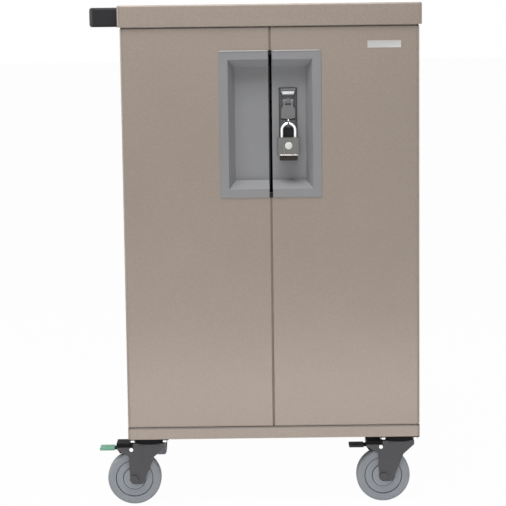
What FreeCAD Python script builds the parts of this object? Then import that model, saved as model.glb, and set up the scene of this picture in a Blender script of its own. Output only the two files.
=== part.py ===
"""Charging cart: a two-door steel cabinet on casters, with a swing handle and padlock.

Millimetres, +Z up, floor at z = 0. The front faces -Y, and +X is to the right of someone
who stands in front of it. The push handle is on the left, so the cabinet's middle lies
half the handle's reach to the right of the origin.
"""
import FreeCAD, Part
import Sketcher
import os
import re

doc = FreeCAD.newDocument("charging_cart")
sheet = doc.addObject("Spreadsheet::Sheet", "Dims")

# Driving dimensions: word, value, what it measures
DRIVING = [
    ("cart_height", 1162, "floor to the top of the lid"),
    ("cab_width", 678, "outside of one side panel to the other"),
    ("cab_depth", 610, "front of the doors to the back of the rear door"),
    ("metal", 1.5, "sheet of the panels, doors, lid and shelf"),
    ("lid_height", 49, "depth of the lid's rim"),
    ("lid_overhang", 5, "lid past the cabinet on every side"),
    ("lid_corner", 8, "radius of the lid's upright corners"),
    ("lid_edge", 4, "radius round the lid's top"),
    ("plinth_height", 25, "base pan and floor panel together"),
    ("pan_metal", 2, "sheet of the base pan"),
    ("hem_width", 8, "folded edge behind the front doors and beside the rear door"),
    ("hem_depth", 22, "how far that fold runs back"),
    ("panel_round", 8, "radius of the base pan's upright edges"),
    ("header_depth", 64, "header rail, front to back"),
    ("header_setback", 3, "header rail behind the door face"),
    ("header_lip", 20, "header rail's upper flange"),
    ("door_depth", 25, "thickness of a door pan"),
    ("door_side_set", 0.5, "front door's edge in from the cabinet's side"),
    ("door_side_gap", 2, "between rear door and hem"),
    ("hinge_room", 7, "front doors to the hems behind them"),
    ("door_top_gap", 1.5, "between door and lid"),
    ("door_bottom_gap", 2.4, "between door and plinth"),
    ("seam_gap", 1.6, "between the two front doors"),
    ("door_lip", 14, "turned-in edge round the back of a door"),
    ("door_edge", 4, "radius round a door's face"),
    ("door_corner", 8, "radius of a front door's outer upright edge"),
    ("pivot_inset", 14, "door pin in from the door's outer edge"),
    ("pivot_setback", 9, "door pin behind the door's face"),
    ("pivot_radius", 4, "door pin"),
    ("pivot_head", 7, "radius of a door pin's collar"),
    ("pivot_clinch", 4.9, "radius of a door pin's head inside the door"),
    ("pivot_head_height", 3, "door pin's head inside the door"),
    ("pivot_reach", 9, "door pin past the door"),
    ("running_gap", 0.1, "round a pin that turns in its hole"),
    ("fixed_gap", 0.05, "round a pin that is fast in its hole"),
    ("free_gap", 0.3, "between faces that pass each other"),
    ("pocket_width", 232, "both halves of the handle pocket, outside the rim"),
    ("pocket_height", 334, "handle pocket, outside the rim"),
    ("pocket_drop", 53.5, "door top down to the pocket's rim"),
    ("pocket_gap", 8, "between the pocket's halves"),
    ("pocket_rim", 20, "width of the rim"),
    ("pocket_proud", 2, "rim in front of the door"),
    ("pocket_lap", 10, "rim over the door, past the hole"),
    ("pocket_depth", 30, "door face back to the pocket's floor"),
    ("pocket_side_slope", 15, "run of the sloped side wall"),
    ("pocket_end_slope", 18, "run of the sloped top and bottom walls"),
    ("pocket_wall", 2.5, "plastic wall of the pocket"),
    ("pocket_round", 3, "radius of the rim's outline"),
    ("dish_offset", 40.5, "middle of the swing handle right of the seam"),
    ("dish_drop", 87, "pocket's rim down to the top of the handle housing"),
    ("dish_width", 39, "handle housing"),
    ("dish_height", 136, "handle housing"),
    ("dish_flange", 4, "handle housing's flange"),
    ("dish_round", 3, "radius of the flange's corners"),
    ("boss_width", 28, "housing behind the pocket's floor"),
    ("boss_depth", 13, "housing behind the pocket's floor"),
    ("boss_margin", 7, "flange past the boss at top and bottom"),
    ("hub_drop", 29, "top of the housing down to the hub"),
    ("hub_radius", 12.5, "round plate that the lever turns on"),
    ("hub_plate", 2.7, "thickness of that plate"),
    ("hub_block", 12, "width of the block that holds the lever's pin"),
    ("spindle_radius", 7, "shaft through the housing"),
    ("lever_depth", 8.6, "thickness of the lever"),
    ("lever_width", 32, "width of the lever"),
    ("lever_neck", 22, "width of the lever at its pin"),
    ("lever_shrug", 9.5, "hub down to where the neck widens"),
    ("lever_shoulder", 19, "hub down to the lever's full width"),
    ("lever_reach", 41, "hub to the lever's round tip"),
    ("lever_pin", 2, "radius of the lever's pin"),
    ("lever_cheek", 4.2, "round of the lever's cheeks about their pin"),
    ("lever_waist", 9, "hub down to where the lever closes up"),
    ("ramp_height", 12, "sloped top of the housing"),
    ("ramp_rise", 7, "sloped top of the housing"),
    ("ramp_taper", 4, "each side of the sloped top draws in"),
    ("ramp_gap", 2, "flange edge to the sloped top"),
    ("bridge_gap", 1.5, "lever tip down to the staple's bridge"),
    ("bridge_height", 16.5, "bridge that carries the staple"),
    ("cavity_height", 36, "finger hollow under the bridge"),
    ("cavity_wall", 2, "skin round the finger hollow"),
    ("staple_thick", 4, "staple fin"),
    ("staple_reach", 15, "staple fin in front of its bridge"),
    ("staple_hole", 4.2, "radius of the staple's eye"),
    ("staple_set", 7.5, "staple's eye below the top of its bridge"),
    ("shackle_rod", 3.25, "radius of the shackle's rod"),
    ("shackle_bend", 15.25, "radius of the shackle's bow"),
    ("shackle_setback", 7, "shackle behind the door's face"),
    ("shackle_toe", 8, "short leg inside the padlock"),
    ("shackle_heel", 26, "long leg inside the padlock"),
    ("shackle_clear", 16, "straight leg above the padlock"),
    ("lock_width", 50, "padlock body"),
    ("lock_height", 40.5, "padlock body"),
    ("lock_depth", 22, "padlock body"),
    ("lock_round", 2.5, "radius of the padlock's edges"),
    ("lock_disc", 9.8, "radius of the plain disc on the padlock"),
    ("lock_disc_proud", 0.8, "disc in front of the padlock"),
    ("lock_disc_drop", 18.5, "disc's middle below the padlock's top"),
    ("lock_foot_width", 41, "padlock's lower guard"),
    ("lock_foot_height", 12, "padlock's lower guard"),
    ("lock_foot_depth", 19, "padlock's lower guard"),
    ("cam_radius", 22, "latch cam"),
    ("cam_thick", 4, "latch cam"),
    ("cam_throw", 14, "latch cam's pins from its middle"),
    ("cam_pin", 3, "radius of the cam's pins"),
    ("cam_gap", 1, "between cam, rods and housing"),
    ("rod_width", 14, "latch rod"),
    ("rod_thick", 4, "latch rod"),
    ("rod_reach", 12, "latch rod past the door"),
    ("yoke_rim", 4, "metal round the rod's slot"),
    ("yoke_slack", 3.6, "room for the pin in the rod's slot"),
    ("guide_width", 30, "rod guide"),
    ("guide_height", 10, "rod guide"),
    ("guide_wall", 3, "rod guide behind the rod"),
    ("strip_short", 1, "seam strip short of the seam's middle"),
    ("strip_hold", 14, "width of the seam strip"),
    ("strip_gap", 1, "seam strip behind the pocket's floor"),
    ("badge_width", 76, "bare badge plate"),
    ("badge_height", 16, "bare badge plate"),
    ("badge_thick", 1, "bare badge plate"),
    ("badge_inset", 42, "badge in from the right door's outer edge"),
    ("badge_drop", 34.5, "badge below the door's top"),
    ("shelf_height", 442, "floor panel up to the middle shelf"),
    ("shelf_lip", 20, "turned-down front of the shelf"),
    ("shelf_setback", 63, "shelf behind the door's face"),
    ("rear_clear", 12, "shelf short of the rear door"),
    ("bracket_size", 20, "legs of a shelf bracket"),
    ("bracket_length", 70, "shelf bracket, front to back"),
    ("bracket_inset", 40, "shelf brackets in from the shelf's ends"),
    ("bay_depth", 165, "power bay, from the partition to the back"),
    ("slot_margin", 37.5, "outermost dividers in from the side panels"),
    ("divider_height", 250, "slot divider"),
    ("divider_setback", 80, "slot dividers behind the door's face"),
    ("divider_round", 40, "round of a divider's top front corner"),
    ("cable_slot", 36, "height of the cable slot in the partition"),
    ("cable_rise", 60, "cable slot above the dividers, to its middle"),
    ("strip_length", 560, "power strip"),
    ("strip_height", 46, "power strip"),
    ("strip_depth", 38, "power strip"),
    ("strip_rise", 190, "power strip above the floor or shelf"),
    ("socket_width", 30, "socket face"),
    ("socket_height", 34, "socket face"),
    ("socket_proud", 2.5, "socket face in front of the strip"),
    ("socket_pitch", 44, "socket to socket"),
    ("socket_slit", 2, "width of a socket's slits"),
    ("socket_slit_length", 8, "length of a socket's slits"),
    ("socket_slit_apart", 12.7, "socket's slits, middle to middle"),
    ("socket_earth", 2.4, "radius of a socket's round hole"),
    ("socket_earth_drop", 9, "round hole below the slits"),
    ("inlet_width", 34, "power inlet's flange, front to back"),
    ("inlet_height", 62, "power inlet's flange"),
    ("inlet_flange", 3, "power inlet's flange"),
    ("inlet_lap", 4, "flange past the hole in the panel"),
    ("inlet_depth", 28, "power inlet inside the panel"),
    ("inlet_rise", 120, "power inlet above the floor panel"),
    ("inlet_setback", 60, "power inlet in from the back"),
    ("plug_width", 18, "hollow for the plug"),
    ("plug_height", 24, "hollow for the plug"),
    ("plug_depth", 18, "hollow for the plug"),
    ("plug_low", 7, "plug hollow above the flange's lower edge"),
    ("blade_thick", 2, "inlet's blades"),
    ("blade_width", 4, "inlet's blades"),
    ("blade_length", 14, "inlet's blades"),
    ("blade_apart", 7, "inlet's blades, middle to middle"),
    ("rocker_width", 13, "rocker switch"),
    ("rocker_height", 18, "rocker switch"),
    ("rocker_depth", 9, "rocker switch"),
    ("rocker_rise", 2.4, "raised end of the rocker"),
    ("rocker_high", 7, "rocker below the flange's upper edge"),
    ("rocker_room", 1.6, "room round the rocker"),
    ("rocker_pin", 1.6, "radius of the rocker's pin"),
    ("handle_reach", 68, "push handle past the lid"),
    ("handle_end_gap", 55, "push handle short of the cabinet's front and back"),
    ("handle_height", 44, "push handle"),
    ("handle_drop", 4, "push handle below the lid's top"),
    ("handle_grip", 28, "thickness of the grip"),
    ("handle_arm", 58, "each end of the handle"),
    ("handle_corner", 20, "round of the handle's outer corners"),
    ("handle_hole_round", 12, "round of the hand hole's corners"),
    ("handle_edge", 6, "round of the handle's long edges"),
    ("handle_bolt", 3, "radius of a handle bolt"),
    ("handle_bolt_head", 5.5, "radius of a handle bolt's head"),
    ("handle_bolt_height", 4, "handle bolt's head"),
    ("handle_bolt_reach", 22, "handle bolt into the arm"),
    ("handle_bolt_apart", 24, "the two bolts of one arm"),
    ("bolt_gap", 0.2, "round a bolt in its hole"),
    ("caster_height", 163, "floor to the base pan"),
    ("caster_inset_side", 47, "king pin in from the cabinet's side"),
    ("caster_inset_end", 50, "king pin in from the cabinet's front or back"),
    ("plate_length", 94, "caster plate across the cart"),
    ("plate_width", 86, "caster plate along the cart"),
    ("plate_thick", 4, "caster plate"),
    ("plate_round", 6, "caster plate's corners"),
    ("plate_bolt_long", 74, "caster bolts across the cart"),
    ("plate_bolt_short", 62, "caster bolts along the cart"),
    ("plate_bolt", 4, "radius of a caster bolt"),
    ("plate_bolt_head", 7.5, "corner radius of a caster bolt's head"),
    ("plate_bolt_height", 5.5, "caster bolt's head"),
    ("plate_bolt_end", 6, "caster bolt inside the base pan"),
    ("race_radius", 31, "swivel race"),
    ("race_height", 12, "swivel race"),
    ("king_radius", 6, "king pin"),
    ("king_head", 11, "king pin's head"),
    ("king_head_height", 3, "king pin's head"),
    ("trail", 36, "axle behind the king pin"),
    ("wheel_radius", 62.5, "outside of the tyre"),
    ("wheel_width", 32, "tyre"),
    ("tyre_shoulder", 7, "round of the tyre's shoulders"),
    ("core_radius", 44, "outside of the wheel core"),
    ("core_hub", 25, "radius of the core's hub"),
    ("core_groove", 2, "width of the grooves round the core's hub and edge"),
    ("core_groove_depth", 3, "depth of those grooves"),
    ("core_ring_setback", 2, "core's web in from the tyre's side"),
    ("hub_proud", 2, "core's hub past the tyre's side"),
    ("axle_radius", 5, "axle bolt"),
    ("axle_head", 9.8, "corner radius of the axle's head and nut"),
    ("axle_head_height", 6, "axle's head and nut"),
    ("fork_gap", 0.5, "between fork and wheel hub"),
    ("fork_metal", 4, "fork's legs"),
    ("crown_thick", 4.5, "fork's crown"),
    ("crown_radius", 34, "fork's round crown"),
    ("fork_foot", 12.9, "fork below the axle"),
    ("fork_front", 9.4, "fork's upright edge past the axle"),
    ("fork_heel", 24, "fork's foot behind the axle"),
    ("fork_foot_round", 11, "round of the fork's foot"),
    ("fork_calf", 28, "fork behind the axle, low down"),
    ("fork_calf_height", 5.5, "that point above the axle"),
    ("fork_knee", 47, "fork behind the axle, high up"),
    ("fork_knee_height", 52.5, "that point above the axle"),
    ("fork_tail", 72, "crown behind the axle"),
    ("fork_tail_height", 75, "crown's lower corner above the axle"),
    ("fork_brow", 40, "crown past the axle"),
    ("fork_brow_height", 71, "crown's lower front corner above the axle"),
    ("fork_shin", 12, "fork past the axle, under the brow"),
    ("fork_shin_height", 54, "that point above the axle"),
    ("pedal_pin_ahead", 6, "pedal pin past the axle"),
    ("pedal_pin_height", 70, "pedal pin above the axle"),
    ("pedal_pin", 2.5, "radius of the pedal pin"),
    ("pedal_pin_head", 4.5, "pedal pin's heads"),
    ("pedal_pin_head_height", 1.6, "pedal pin's heads"),
    ("pedal_width", 26, "brake pedal"),
    ("pedal_eye", 5, "pedal round its pin"),
    ("pedal_end", 72, "pedal's steel end past the axle"),
    ("pedal_rise", 69, "pedal's tongue above the axle"),
    ("pedal_thick", 3.5, "pedal's tongue"),
    ("shoe_near", 16, "brake shoe's near end past the axle"),
    ("shoe_near_height", 63.6, "that end above the axle"),
    ("shoe_far", 33, "brake shoe's far end past the axle"),
    ("shoe_far_height", 59.2, "that end above the axle"),
    ("shoe_back", 40, "where the shoe meets the tongue"),
    ("cap_start", 46, "pedal cap's near end past the axle"),
    ("cap_end", 80, "pedal cap's far end past the axle"),
    ("cap_height", 7.5, "pedal cap"),
    ("cap_width", 32, "pedal cap"),
    ("cap_round", 2.5, "round of the pedal cap's edges"),
    ("vent_length", 150, "vent slot in the rear door"),
    ("vent_height", 6, "vent slot"),
    ("vent_pitch", 18, "vent slot to vent slot"),
    ("vent_inset", 90, "first vent slot from the door's end"),
    ("vent_column", 130, "vent slots either side of the middle"),
    ("side_vent_length", 80, "vent slot in a side panel"),
    ("side_vent_setback", 60, "side vents in from the back"),
    ("barrel_radius", 9.5, "rear lock barrel"),
    ("barrel_flange", 12, "rear lock's face"),
    ("barrel_flange_thick", 2.5, "rear lock's face"),
    ("barrel_length", 30, "rear lock barrel behind its face"),
    ("lock_inset", 40, "rear lock in from the door's free edge"),
    ("lock_rise", 470, "rear lock above the floor panel"),
    ("plug_radius", 6, "rear lock's turning plug"),
    ("tongue_thick", 2.5, "rear lock's tongue"),
    ("tongue_width", 14, "rear lock's tongue"),
    ("tongue_reach", 46, "rear lock's tongue from its middle"),
]
for row, (word, number, note) in enumerate(DRIVING, start=1):
    sheet.set(f"A{row}", word)
    sheet.set(f"B{row}", str(number))
    sheet.set(f"C{row}", note)
    sheet.setAlias(f"B{row}", word)
doc.recompute()

SLOTS = 12
SOCKETS = 12
VENTS = 8
SIDE_VENTS = 6
WORDS = {word for word, number, note in DRIVING}

# Places worked out from the driving dimensions
PLACES = {
    "cab_mid": "handle_reach / 2",
    "face": "0 - cab_depth / 2",
    "back": "cab_depth / 2",
    "floor_top": "caster_height + plinth_height",
    "lid_low": "cart_height - lid_height",
    "lid_under": "cart_height - metal",
    "half_inside": "cab_width / 2 - metal",
    "half_opening": "cab_width / 2 - hem_width",
    "door_low": "floor_top + door_bottom_gap",
    "door_high": "lid_low - door_top_gap",
    "door_free": "seam_gap / 2",
    "door_outer": "cab_width / 2 - door_side_set",
    "rear_outer": "half_opening - door_side_gap",
    "door_rear": "face + door_depth",
    "panel_front": "face + door_depth + hinge_room",
    "pivot_out": "door_outer - pivot_inset",
    "rear_pivot_out": "rear_outer - pivot_inset",
    "pocket_high": "door_high - pocket_drop",
    "pocket_low": "pocket_high - pocket_height",
    "pocket_floor": "face + pocket_depth",
    "pocket_rear": "pocket_floor + pocket_wall",
    "dish_mid": "cab_mid + dish_offset",
    "dish_high": "pocket_high - dish_drop",
    "dish_low": "dish_high - dish_height",
    "dish_front": "pocket_floor - dish_flange",
    "boss_rear": "pocket_floor + boss_depth",
    "hub_high": "dish_high - hub_drop",
    "hub_front": "dish_front - free_gap - hub_plate",
    "lever_rear": "hub_front - free_gap",
    "lever_front": "lever_rear - lever_depth",
    "lever_axis": "lever_rear - lever_depth / 2",
    "bridge_high": "hub_high - lever_reach - bridge_gap",
    "bridge_low": "bridge_high - bridge_height",
    "eye_high": "bridge_high - staple_set",
    "eye_front": "face + shackle_setback",
    "bow_high": "eye_high - shackle_bend",
    "lock_high": "bow_high - shackle_clear",
    "lock_low": "lock_high - lock_height",
    "cam_front": "boss_rear + cam_gap / 2",
    "cam_rear": "cam_front + cam_thick",
    "upper_rod_front": "cam_rear + cam_gap",
    "lower_rod_front": "upper_rod_front + rod_thick + cam_gap",
    "guide_rear": "lower_rod_front + rod_thick + free_gap + guide_wall",
    "shelf_top": "floor_top + shelf_height",
    "shelf_under": "shelf_top - metal",
    "shelf_front": "face + shelf_setback",
    "shelf_back": "back - door_depth - rear_clear",
    "partition": "back - bay_depth",
    "divider_front": "face + divider_setback",
    "slot_pitch": f"(2 * (half_inside) - 2 * slot_margin) / {SLOTS}",
    "strip_front": "partition + metal",
    "inlet_mid": "back - inlet_setback",
    "inlet_low": "floor_top + inlet_rise",
    "inlet_high": "inlet_low + inlet_height",
    "panel_left": "cab_mid - cab_width / 2",
    "lid_left": "panel_left - lid_overhang",
    "handle_length": "cab_depth - 2 * handle_end_gap",
    "handle_high": "cart_height - handle_drop",
    "handle_low": "handle_high - handle_height",
    "plate_low": "caster_height - plate_thick",
    "race_low": "plate_low - race_height",
    "crown_high": "race_low - free_gap",
    "crown_low": "crown_high - crown_thick",
    "hub_half": "wheel_width / 2 + hub_proud",
    "fork_inside": "hub_half + fork_gap",
    "fork_outside": "fork_inside + fork_metal",
    "lock_mid": "cab_mid - (rear_outer) + lock_inset",
    "lock_rise_high": "floor_top + lock_rise",
    "barrel_rear": "back - barrel_length",
}


def ex(text):
    """Turn a sum written in the words above into an expression on the sheet's cells."""
    def swap(match):
        word = match.group(0)
        if word in PLACES:
            return "(" + ex(PLACES[word]) + ")"
        if word in WORDS:
            return "Dims." + word
        raise ValueError("unknown word " + word)
    return re.sub(r"[a-z][a-z_]*", swap, str(text))


def value(text):
    return float(sheet.evalExpression(ex(text)))


def bind(thing, **sums):
    for prop, text in sums.items():
        thing.setExpression(prop.replace("__", "."), ex(text))


def place(thing, x, y, z):
    bind(thing, Placement__Base__x=x, Placement__Base__y=y, Placement__Base__z=z)


# Basic shapes, each bound to the sheet

TURNS = {
    "x": FreeCAD.Rotation(FreeCAD.Vector(0, 1, 0), 90),
    "y": FreeCAD.Rotation(FreeCAD.Vector(1, 0, 0), -90),
    "z": FreeCAD.Rotation(),
}


def block(name, x, y, z):
    """A box from three pairs of low and high sides."""
    box = doc.addObject("Part::Box", name)
    bind(
        box,
        Length=f"({x[1]}) - ({x[0]})",
        Width=f"({y[1]}) - ({y[0]})",
        Height=f"({z[1]}) - ({z[0]})",
    )
    place(box, x[0], y[0], z[0])
    return box


def rod(name, axis, start, radius, length):
    """A round bar that starts at a point and runs along +x, +y or +z."""
    bar = doc.addObject("Part::Cylinder", name)
    bar.Placement = FreeCAD.Placement(FreeCAD.Vector(), TURNS[axis])
    bind(bar, Radius=radius, Height=length)
    place(bar, *start)
    return bar


def hexagon(name, axis, start, radius, length):
    bar = doc.addObject("Part::Prism", name)
    bar.Polygon = 6
    bar.Placement = FreeCAD.Placement(FreeCAD.Vector(), TURNS[axis])
    bind(bar, Circumradius=radius, Height=length)
    place(bar, *start)
    return bar


def frustum(name, y, near, far):
    """A block whose outline in x and z changes from the near side of y to the far side."""
    wedge = doc.addObject("Part::Wedge", name)
    (near_x, near_z) = near
    (far_x, far_z) = far
    bind(
        wedge,
        Ymin=y[0], Ymax=y[1],
        Xmin=near_x[0], Xmax=near_x[1], Zmin=near_z[0], Zmax=near_z[1],
        X2min=far_x[0], X2max=far_x[1], Z2min=far_z[0], Z2max=far_z[1],
    )
    return wedge


def group(name, things):
    """Several separate solids as one object."""
    gathered = doc.addObject("Part::Compound", name)
    gathered.Links = things
    return gathered


def fuse(name, *things):
    joined = doc.addObject("Part::MultiFuse", name)
    joined.Shapes = list(things)
    joined.Refine = True
    return joined


def cut(name, base, *tools):
    left = doc.addObject("Part::Cut", name)
    left.Base = base
    left.Tool = tools[0] if len(tools) == 1 else group(name + "_tools", list(tools))
    left.Refine = True
    return left


def rounded(name, base, radius, wanted):
    """Round the edges of base for which wanted(low corner, high corner) is true."""
    doc.recompute()
    size = value(radius)
    chosen = []
    for number, edge in enumerate(base.Shape.Edges, start=1):
        box = edge.BoundBox
        low = FreeCAD.Vector(box.XMin, box.YMin, box.ZMin)
        high = FreeCAD.Vector(box.XMax, box.YMax, box.ZMax)
        if wanted(low, high):
            chosen.append((number, size, size))
    if not chosen:
        raise RuntimeError(name + " has no edge to round")
    softened = doc.addObject("Part::Fillet", name)
    softened.Base = base
    softened.Edges = chosen
    return softened


NEAR = 0.01


def runs(low, high, axis):
    """True for a straight edge along one axis."""
    others = [a for a in "xyz" if a != axis]
    return all(getattr(high, a) - getattr(low, a) < NEAR for a in others)


def at(low, high, axis, text):
    """True for an edge that lies wholly at one place along an axis."""
    where = value(text)
    return abs(getattr(low, axis) - where) < NEAR and abs(getattr(high, axis) - where) < NEAR


# Sketched pieces

def role_plane(body, role):
    return next(f for f in body.Origin.OriginFeatures if f.Role == role)


def outline(body, name, role, corners):
    """A closed sketch through corners, each held to the sheet."""
    sketch = body.newObject("Sketcher::SketchObject", name)
    sketch.AttachmentSupport = (role_plane(body, role), [""])
    sketch.MapMode = "FlatFace"
    points = [FreeCAD.Vector(value(x), value(y), 0) for x, y in corners]
    count = len(points)
    for i in range(count):
        sketch.addGeometry(Part.LineSegment(points[i], points[(i + 1) % count]))
    for i in range(count):
        sketch.addConstraint(Sketcher.Constraint("Coincident", i, 2, (i + 1) % count, 1))
    for i, (x, y) in enumerate(corners):
        across = sketch.addConstraint(Sketcher.Constraint("DistanceX", -1, 1, i, 1, points[i].x))
        up = sketch.addConstraint(Sketcher.Constraint("DistanceY", -1, 1, i, 1, points[i].y))
        sketch.setExpression(f"Constraints[{across}]", ex(x))
        sketch.setExpression(f"Constraints[{up}]", ex(y))
    return sketch


def padded(name, role, corners, length, midplane=False):
    """A body padded from one outline. XZ pads towards -y, XY towards +z."""
    body = doc.addObject("PartDesign::Body", name)
    sketch = outline(body, name + "_outline", role, corners)
    pad = body.newObject("PartDesign::Pad", name + "_pad")
    pad.Profile = sketch
    pad.Midplane = midplane
    bind(pad, Length=length)
    return body


nodes = []


def node(label, thing):
    """Name a finished sub-part."""
    thing.Label = label
    nodes.append(thing)
    return thing


def across(low, high):
    """A pair of sides measured from the cabinet's middle."""
    return (f"cab_mid + ({low})", f"cab_mid + ({high})")


def both(half):
    return across(f"0 - ({half})", half)


def about(middle, half):
    return (f"{middle} - ({half})", f"{middle} + ({half})")


# Where the casters stand: name, side of the cart, end of the cart
CASTERS = [
    ("front_left", -1, -1),
    ("front_right", 1, -1),
    ("rear_left", -1, 1),
    ("rear_right", 1, 1),
]


def king_place(side, end):
    x = f"cab_mid + ({side}) * (cab_width / 2 - caster_inset_side)"
    y = f"({end}) * (cab_depth / 2 - caster_inset_end)"
    return x, y


def bolt_places(side, end):
    x, y = king_place(side, end)
    return [
        (f"{x} + ({i}) * plate_bolt_long / 2", f"{y} + ({j}) * plate_bolt_short / 2")
        for i in (-1, 1)
        for j in (-1, 1)
    ]


# Door pins: name, x, y
PIVOTS = {
    "left_door": ("cab_mid - (pivot_out)", "face + pivot_setback"),
    "right_door": ("cab_mid + pivot_out", "face + pivot_setback"),
    "rear_door": ("cab_mid + rear_pivot_out", "back - pivot_setback"),
}


def pivot_hole(name, door, low, length, gap):
    x, y = PIVOTS[door]
    return rod(name, "z", (x, y, low), f"pivot_radius + {gap}", length)


# Base pan: an open tray that the casters bolt to
pan = block("pan_block", both("cab_width / 2"), ("face", "back"), ("caster_height", "floor_top - metal"))
pan = rounded("pan_round", pan, "panel_round", lambda low, high: runs(low, high, "z"))
pan_hollow = block(
    "pan_hollow",
    both("cab_width / 2 - pan_metal"),
    ("face + pan_metal", "back - pan_metal"),
    ("caster_height + pan_metal", "floor_top"),
)
pan_hollow = rounded(
    "pan_hollow_round", pan_hollow, "panel_round - pan_metal", lambda low, high: runs(low, high, "z")
)
pan_holes = []
for name, side, end in CASTERS:
    for x, y in bolt_places(side, end):
        start = (x, y, "caster_height - pan_metal")
        pan_holes.append(rod("pan_hole", "z", start, "plate_bolt + bolt_gap", "3 * pan_metal"))
node("base_pan", cut("base_pan", cut("pan_tray", pan, pan_hollow), *pan_holes))

# Floor panel: closes the base pan, and takes the lower door pins and the lower latch rod
floor = block("floor_block", both("cab_width / 2"), ("face", "back"), ("floor_top - metal", "floor_top"))
floor = rounded("floor_round", floor, "panel_round", lambda low, high: runs(low, high, "z"))
floor_holes = [
    pivot_hole(door + "_floor_hole", door, "floor_top - 2 * metal", "3 * metal", "running_gap")
    for door in PIVOTS
]
floor_holes.append(block(
    "lower_rod_hole",
    about("dish_mid", "rod_width / 2 + cam_gap"),
    ("lower_rod_front - cam_gap", "lower_rod_front + rod_thick + cam_gap"),
    ("floor_top - 2 * metal", "floor_top + metal"),
))
node("floor_panel", cut("floor_panel", floor, *floor_holes))


# Side panels: folded sheet with a boxed hem down the front and back edges
def handle_bolt_places():
    return [
        (f"({arm}) * (handle_length / 2 - handle_arm / 2) + ({i}) * handle_bolt_apart / 2",
         "handle_low + handle_height / 2")
        for arm in (-1, 1)
        for i in (-1, 1)
    ]


def side_panel(label, side):
    def x(text):
        return f"cab_mid + ({side}) * ({text})"

    corners = [
        (x("cab_width / 2"), "panel_front"),
        (x("cab_width / 2"), "back"),
        (x("half_opening"), "back"),
        (x("half_opening"), "back - hem_depth"),
        (x("half_opening + metal"), "back - hem_depth"),
        (x("half_opening + metal"), "back - metal"),
        (x("half_inside"), "back - metal"),
        (x("half_inside"), "panel_front + metal"),
        (x("half_opening + metal"), "panel_front + metal"),
        (x("half_opening + metal"), "panel_front + hem_depth"),
        (x("half_opening"), "panel_front + hem_depth"),
        (x("half_opening"), "panel_front"),
    ]
    folded = padded(label + "_fold", "XY_Plane", corners, "lid_under - (floor_top)")
    place(folded, "0", "0", "floor_top")

    def outer_edge(low, high):
        return runs(low, high, "z") and (at(low, high, "y", "panel_front") or at(low, high, "y", "back"))

    panel = rounded(label + "_round", folded, "metal", outer_edge)
    wall = (x("half_inside - metal"), x("cab_width / 2 + metal"))
    if side < 0:
        wall = (wall[1], wall[0])
    holes = []
    for i in range(SIDE_VENTS):
        holes.append(block(
            label + "_vent", wall,
            ("back - side_vent_setback - side_vent_length", "back - side_vent_setback"),
            about(f"lid_low - vent_inset - {i} * vent_pitch", "vent_height / 2"),
        ))
    if side < 0:
        holes.append(block(
            "inlet_hole", wall,
            about("inlet_mid", "inlet_width / 2 - inlet_lap + bolt_gap"),
            ("inlet_low + inlet_lap - bolt_gap", "inlet_high - inlet_lap + bolt_gap"),
        ))
        for y, z in handle_bolt_places():
            holes.append(rod("panel_bolt_hole", "x", (wall[0], y, z), "handle_bolt + bolt_gap", "3 * metal"))
    return node(label, cut(label, panel, *holes))


side_panel("left_side_panel", -1)
side_panel("right_side_panel", 1)


# Top lid: a cap with rounded corners that hangs over the panels
def cap_block(name, inset, low, high):
    return block(
        name,
        both(f"cab_width / 2 + lid_overhang - {inset}"),
        (f"face - lid_overhang + {inset}", f"back + lid_overhang - {inset}"),
        (low, high),
    )


def upright(low, high):
    return runs(low, high, "z")


lid = rounded("lid_corners", cap_block("lid_block", "0", "lid_low", "cart_height"), "lid_corner", upright)
lid = rounded("lid_edges", lid, "lid_edge", lambda low, high: at(low, high, "z", "cart_height"))
hollow = cap_block("lid_hollow_block", "metal", "lid_low - metal", "lid_under")
hollow = rounded("lid_hollow_corners", hollow, "lid_corner - metal", upright)
hollow = rounded(
    "lid_hollow_edges", hollow, "lid_edge - metal", lambda low, high: at(low, high, "z", "lid_under")
)
lid_holes = [
    rod("lid_bolt_hole", "x", ("lid_left - metal", y, z), "handle_bolt + bolt_gap", "3 * metal")
    for y, z in handle_bolt_places()
]
node("top_lid", cut("top_lid", cut("lid_shell", lid, hollow), *lid_holes))


# Header rails: folded channels under the lid, front and rear, that take the upper door pins
def header(name, near, way, holes):
    def y(start, stop):
        pair = (f"{near} + ({way}) * ({start})", f"{near} + ({way}) * ({stop})")
        return pair if way > 0 else (pair[1], pair[0])

    width = both("half_opening")
    shelf = block(name + "_floor", width, y("header_setback", "header_depth"), ("lid_low", "lid_low + metal"))
    wall = block(
        name + "_wall", width, y("header_setback", "header_setback + metal"), ("lid_low", "lid_under")
    )
    lip = block(
        name + "_lip", width, y("header_setback", "header_setback + header_lip"),
        ("lid_under - metal", "lid_under")
    )
    return cut(name, fuse(name + "_fold", shelf, wall, lip), *holes)


upper_rod_hole = block(
    "upper_rod_hole",
    about("dish_mid", "rod_width / 2 + cam_gap"),
    ("upper_rod_front - cam_gap", "upper_rod_front + rod_thick + cam_gap"),
    ("lid_low - metal", "lid_low + 2 * metal"),
)
header_holes = {
    door: pivot_hole(door + "_header_hole", door, "lid_low - metal", "3 * metal", "running_gap")
    for door in PIVOTS
}
front_header = header(
    "front_header", "face", 1, [header_holes["left_door"], header_holes["right_door"], upper_rod_hole]
)
rear_header = header("rear_header", "back", -1, [header_holes["rear_door"]])
node("header_rails", group("header_rails", [front_header, rear_header]))

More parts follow.
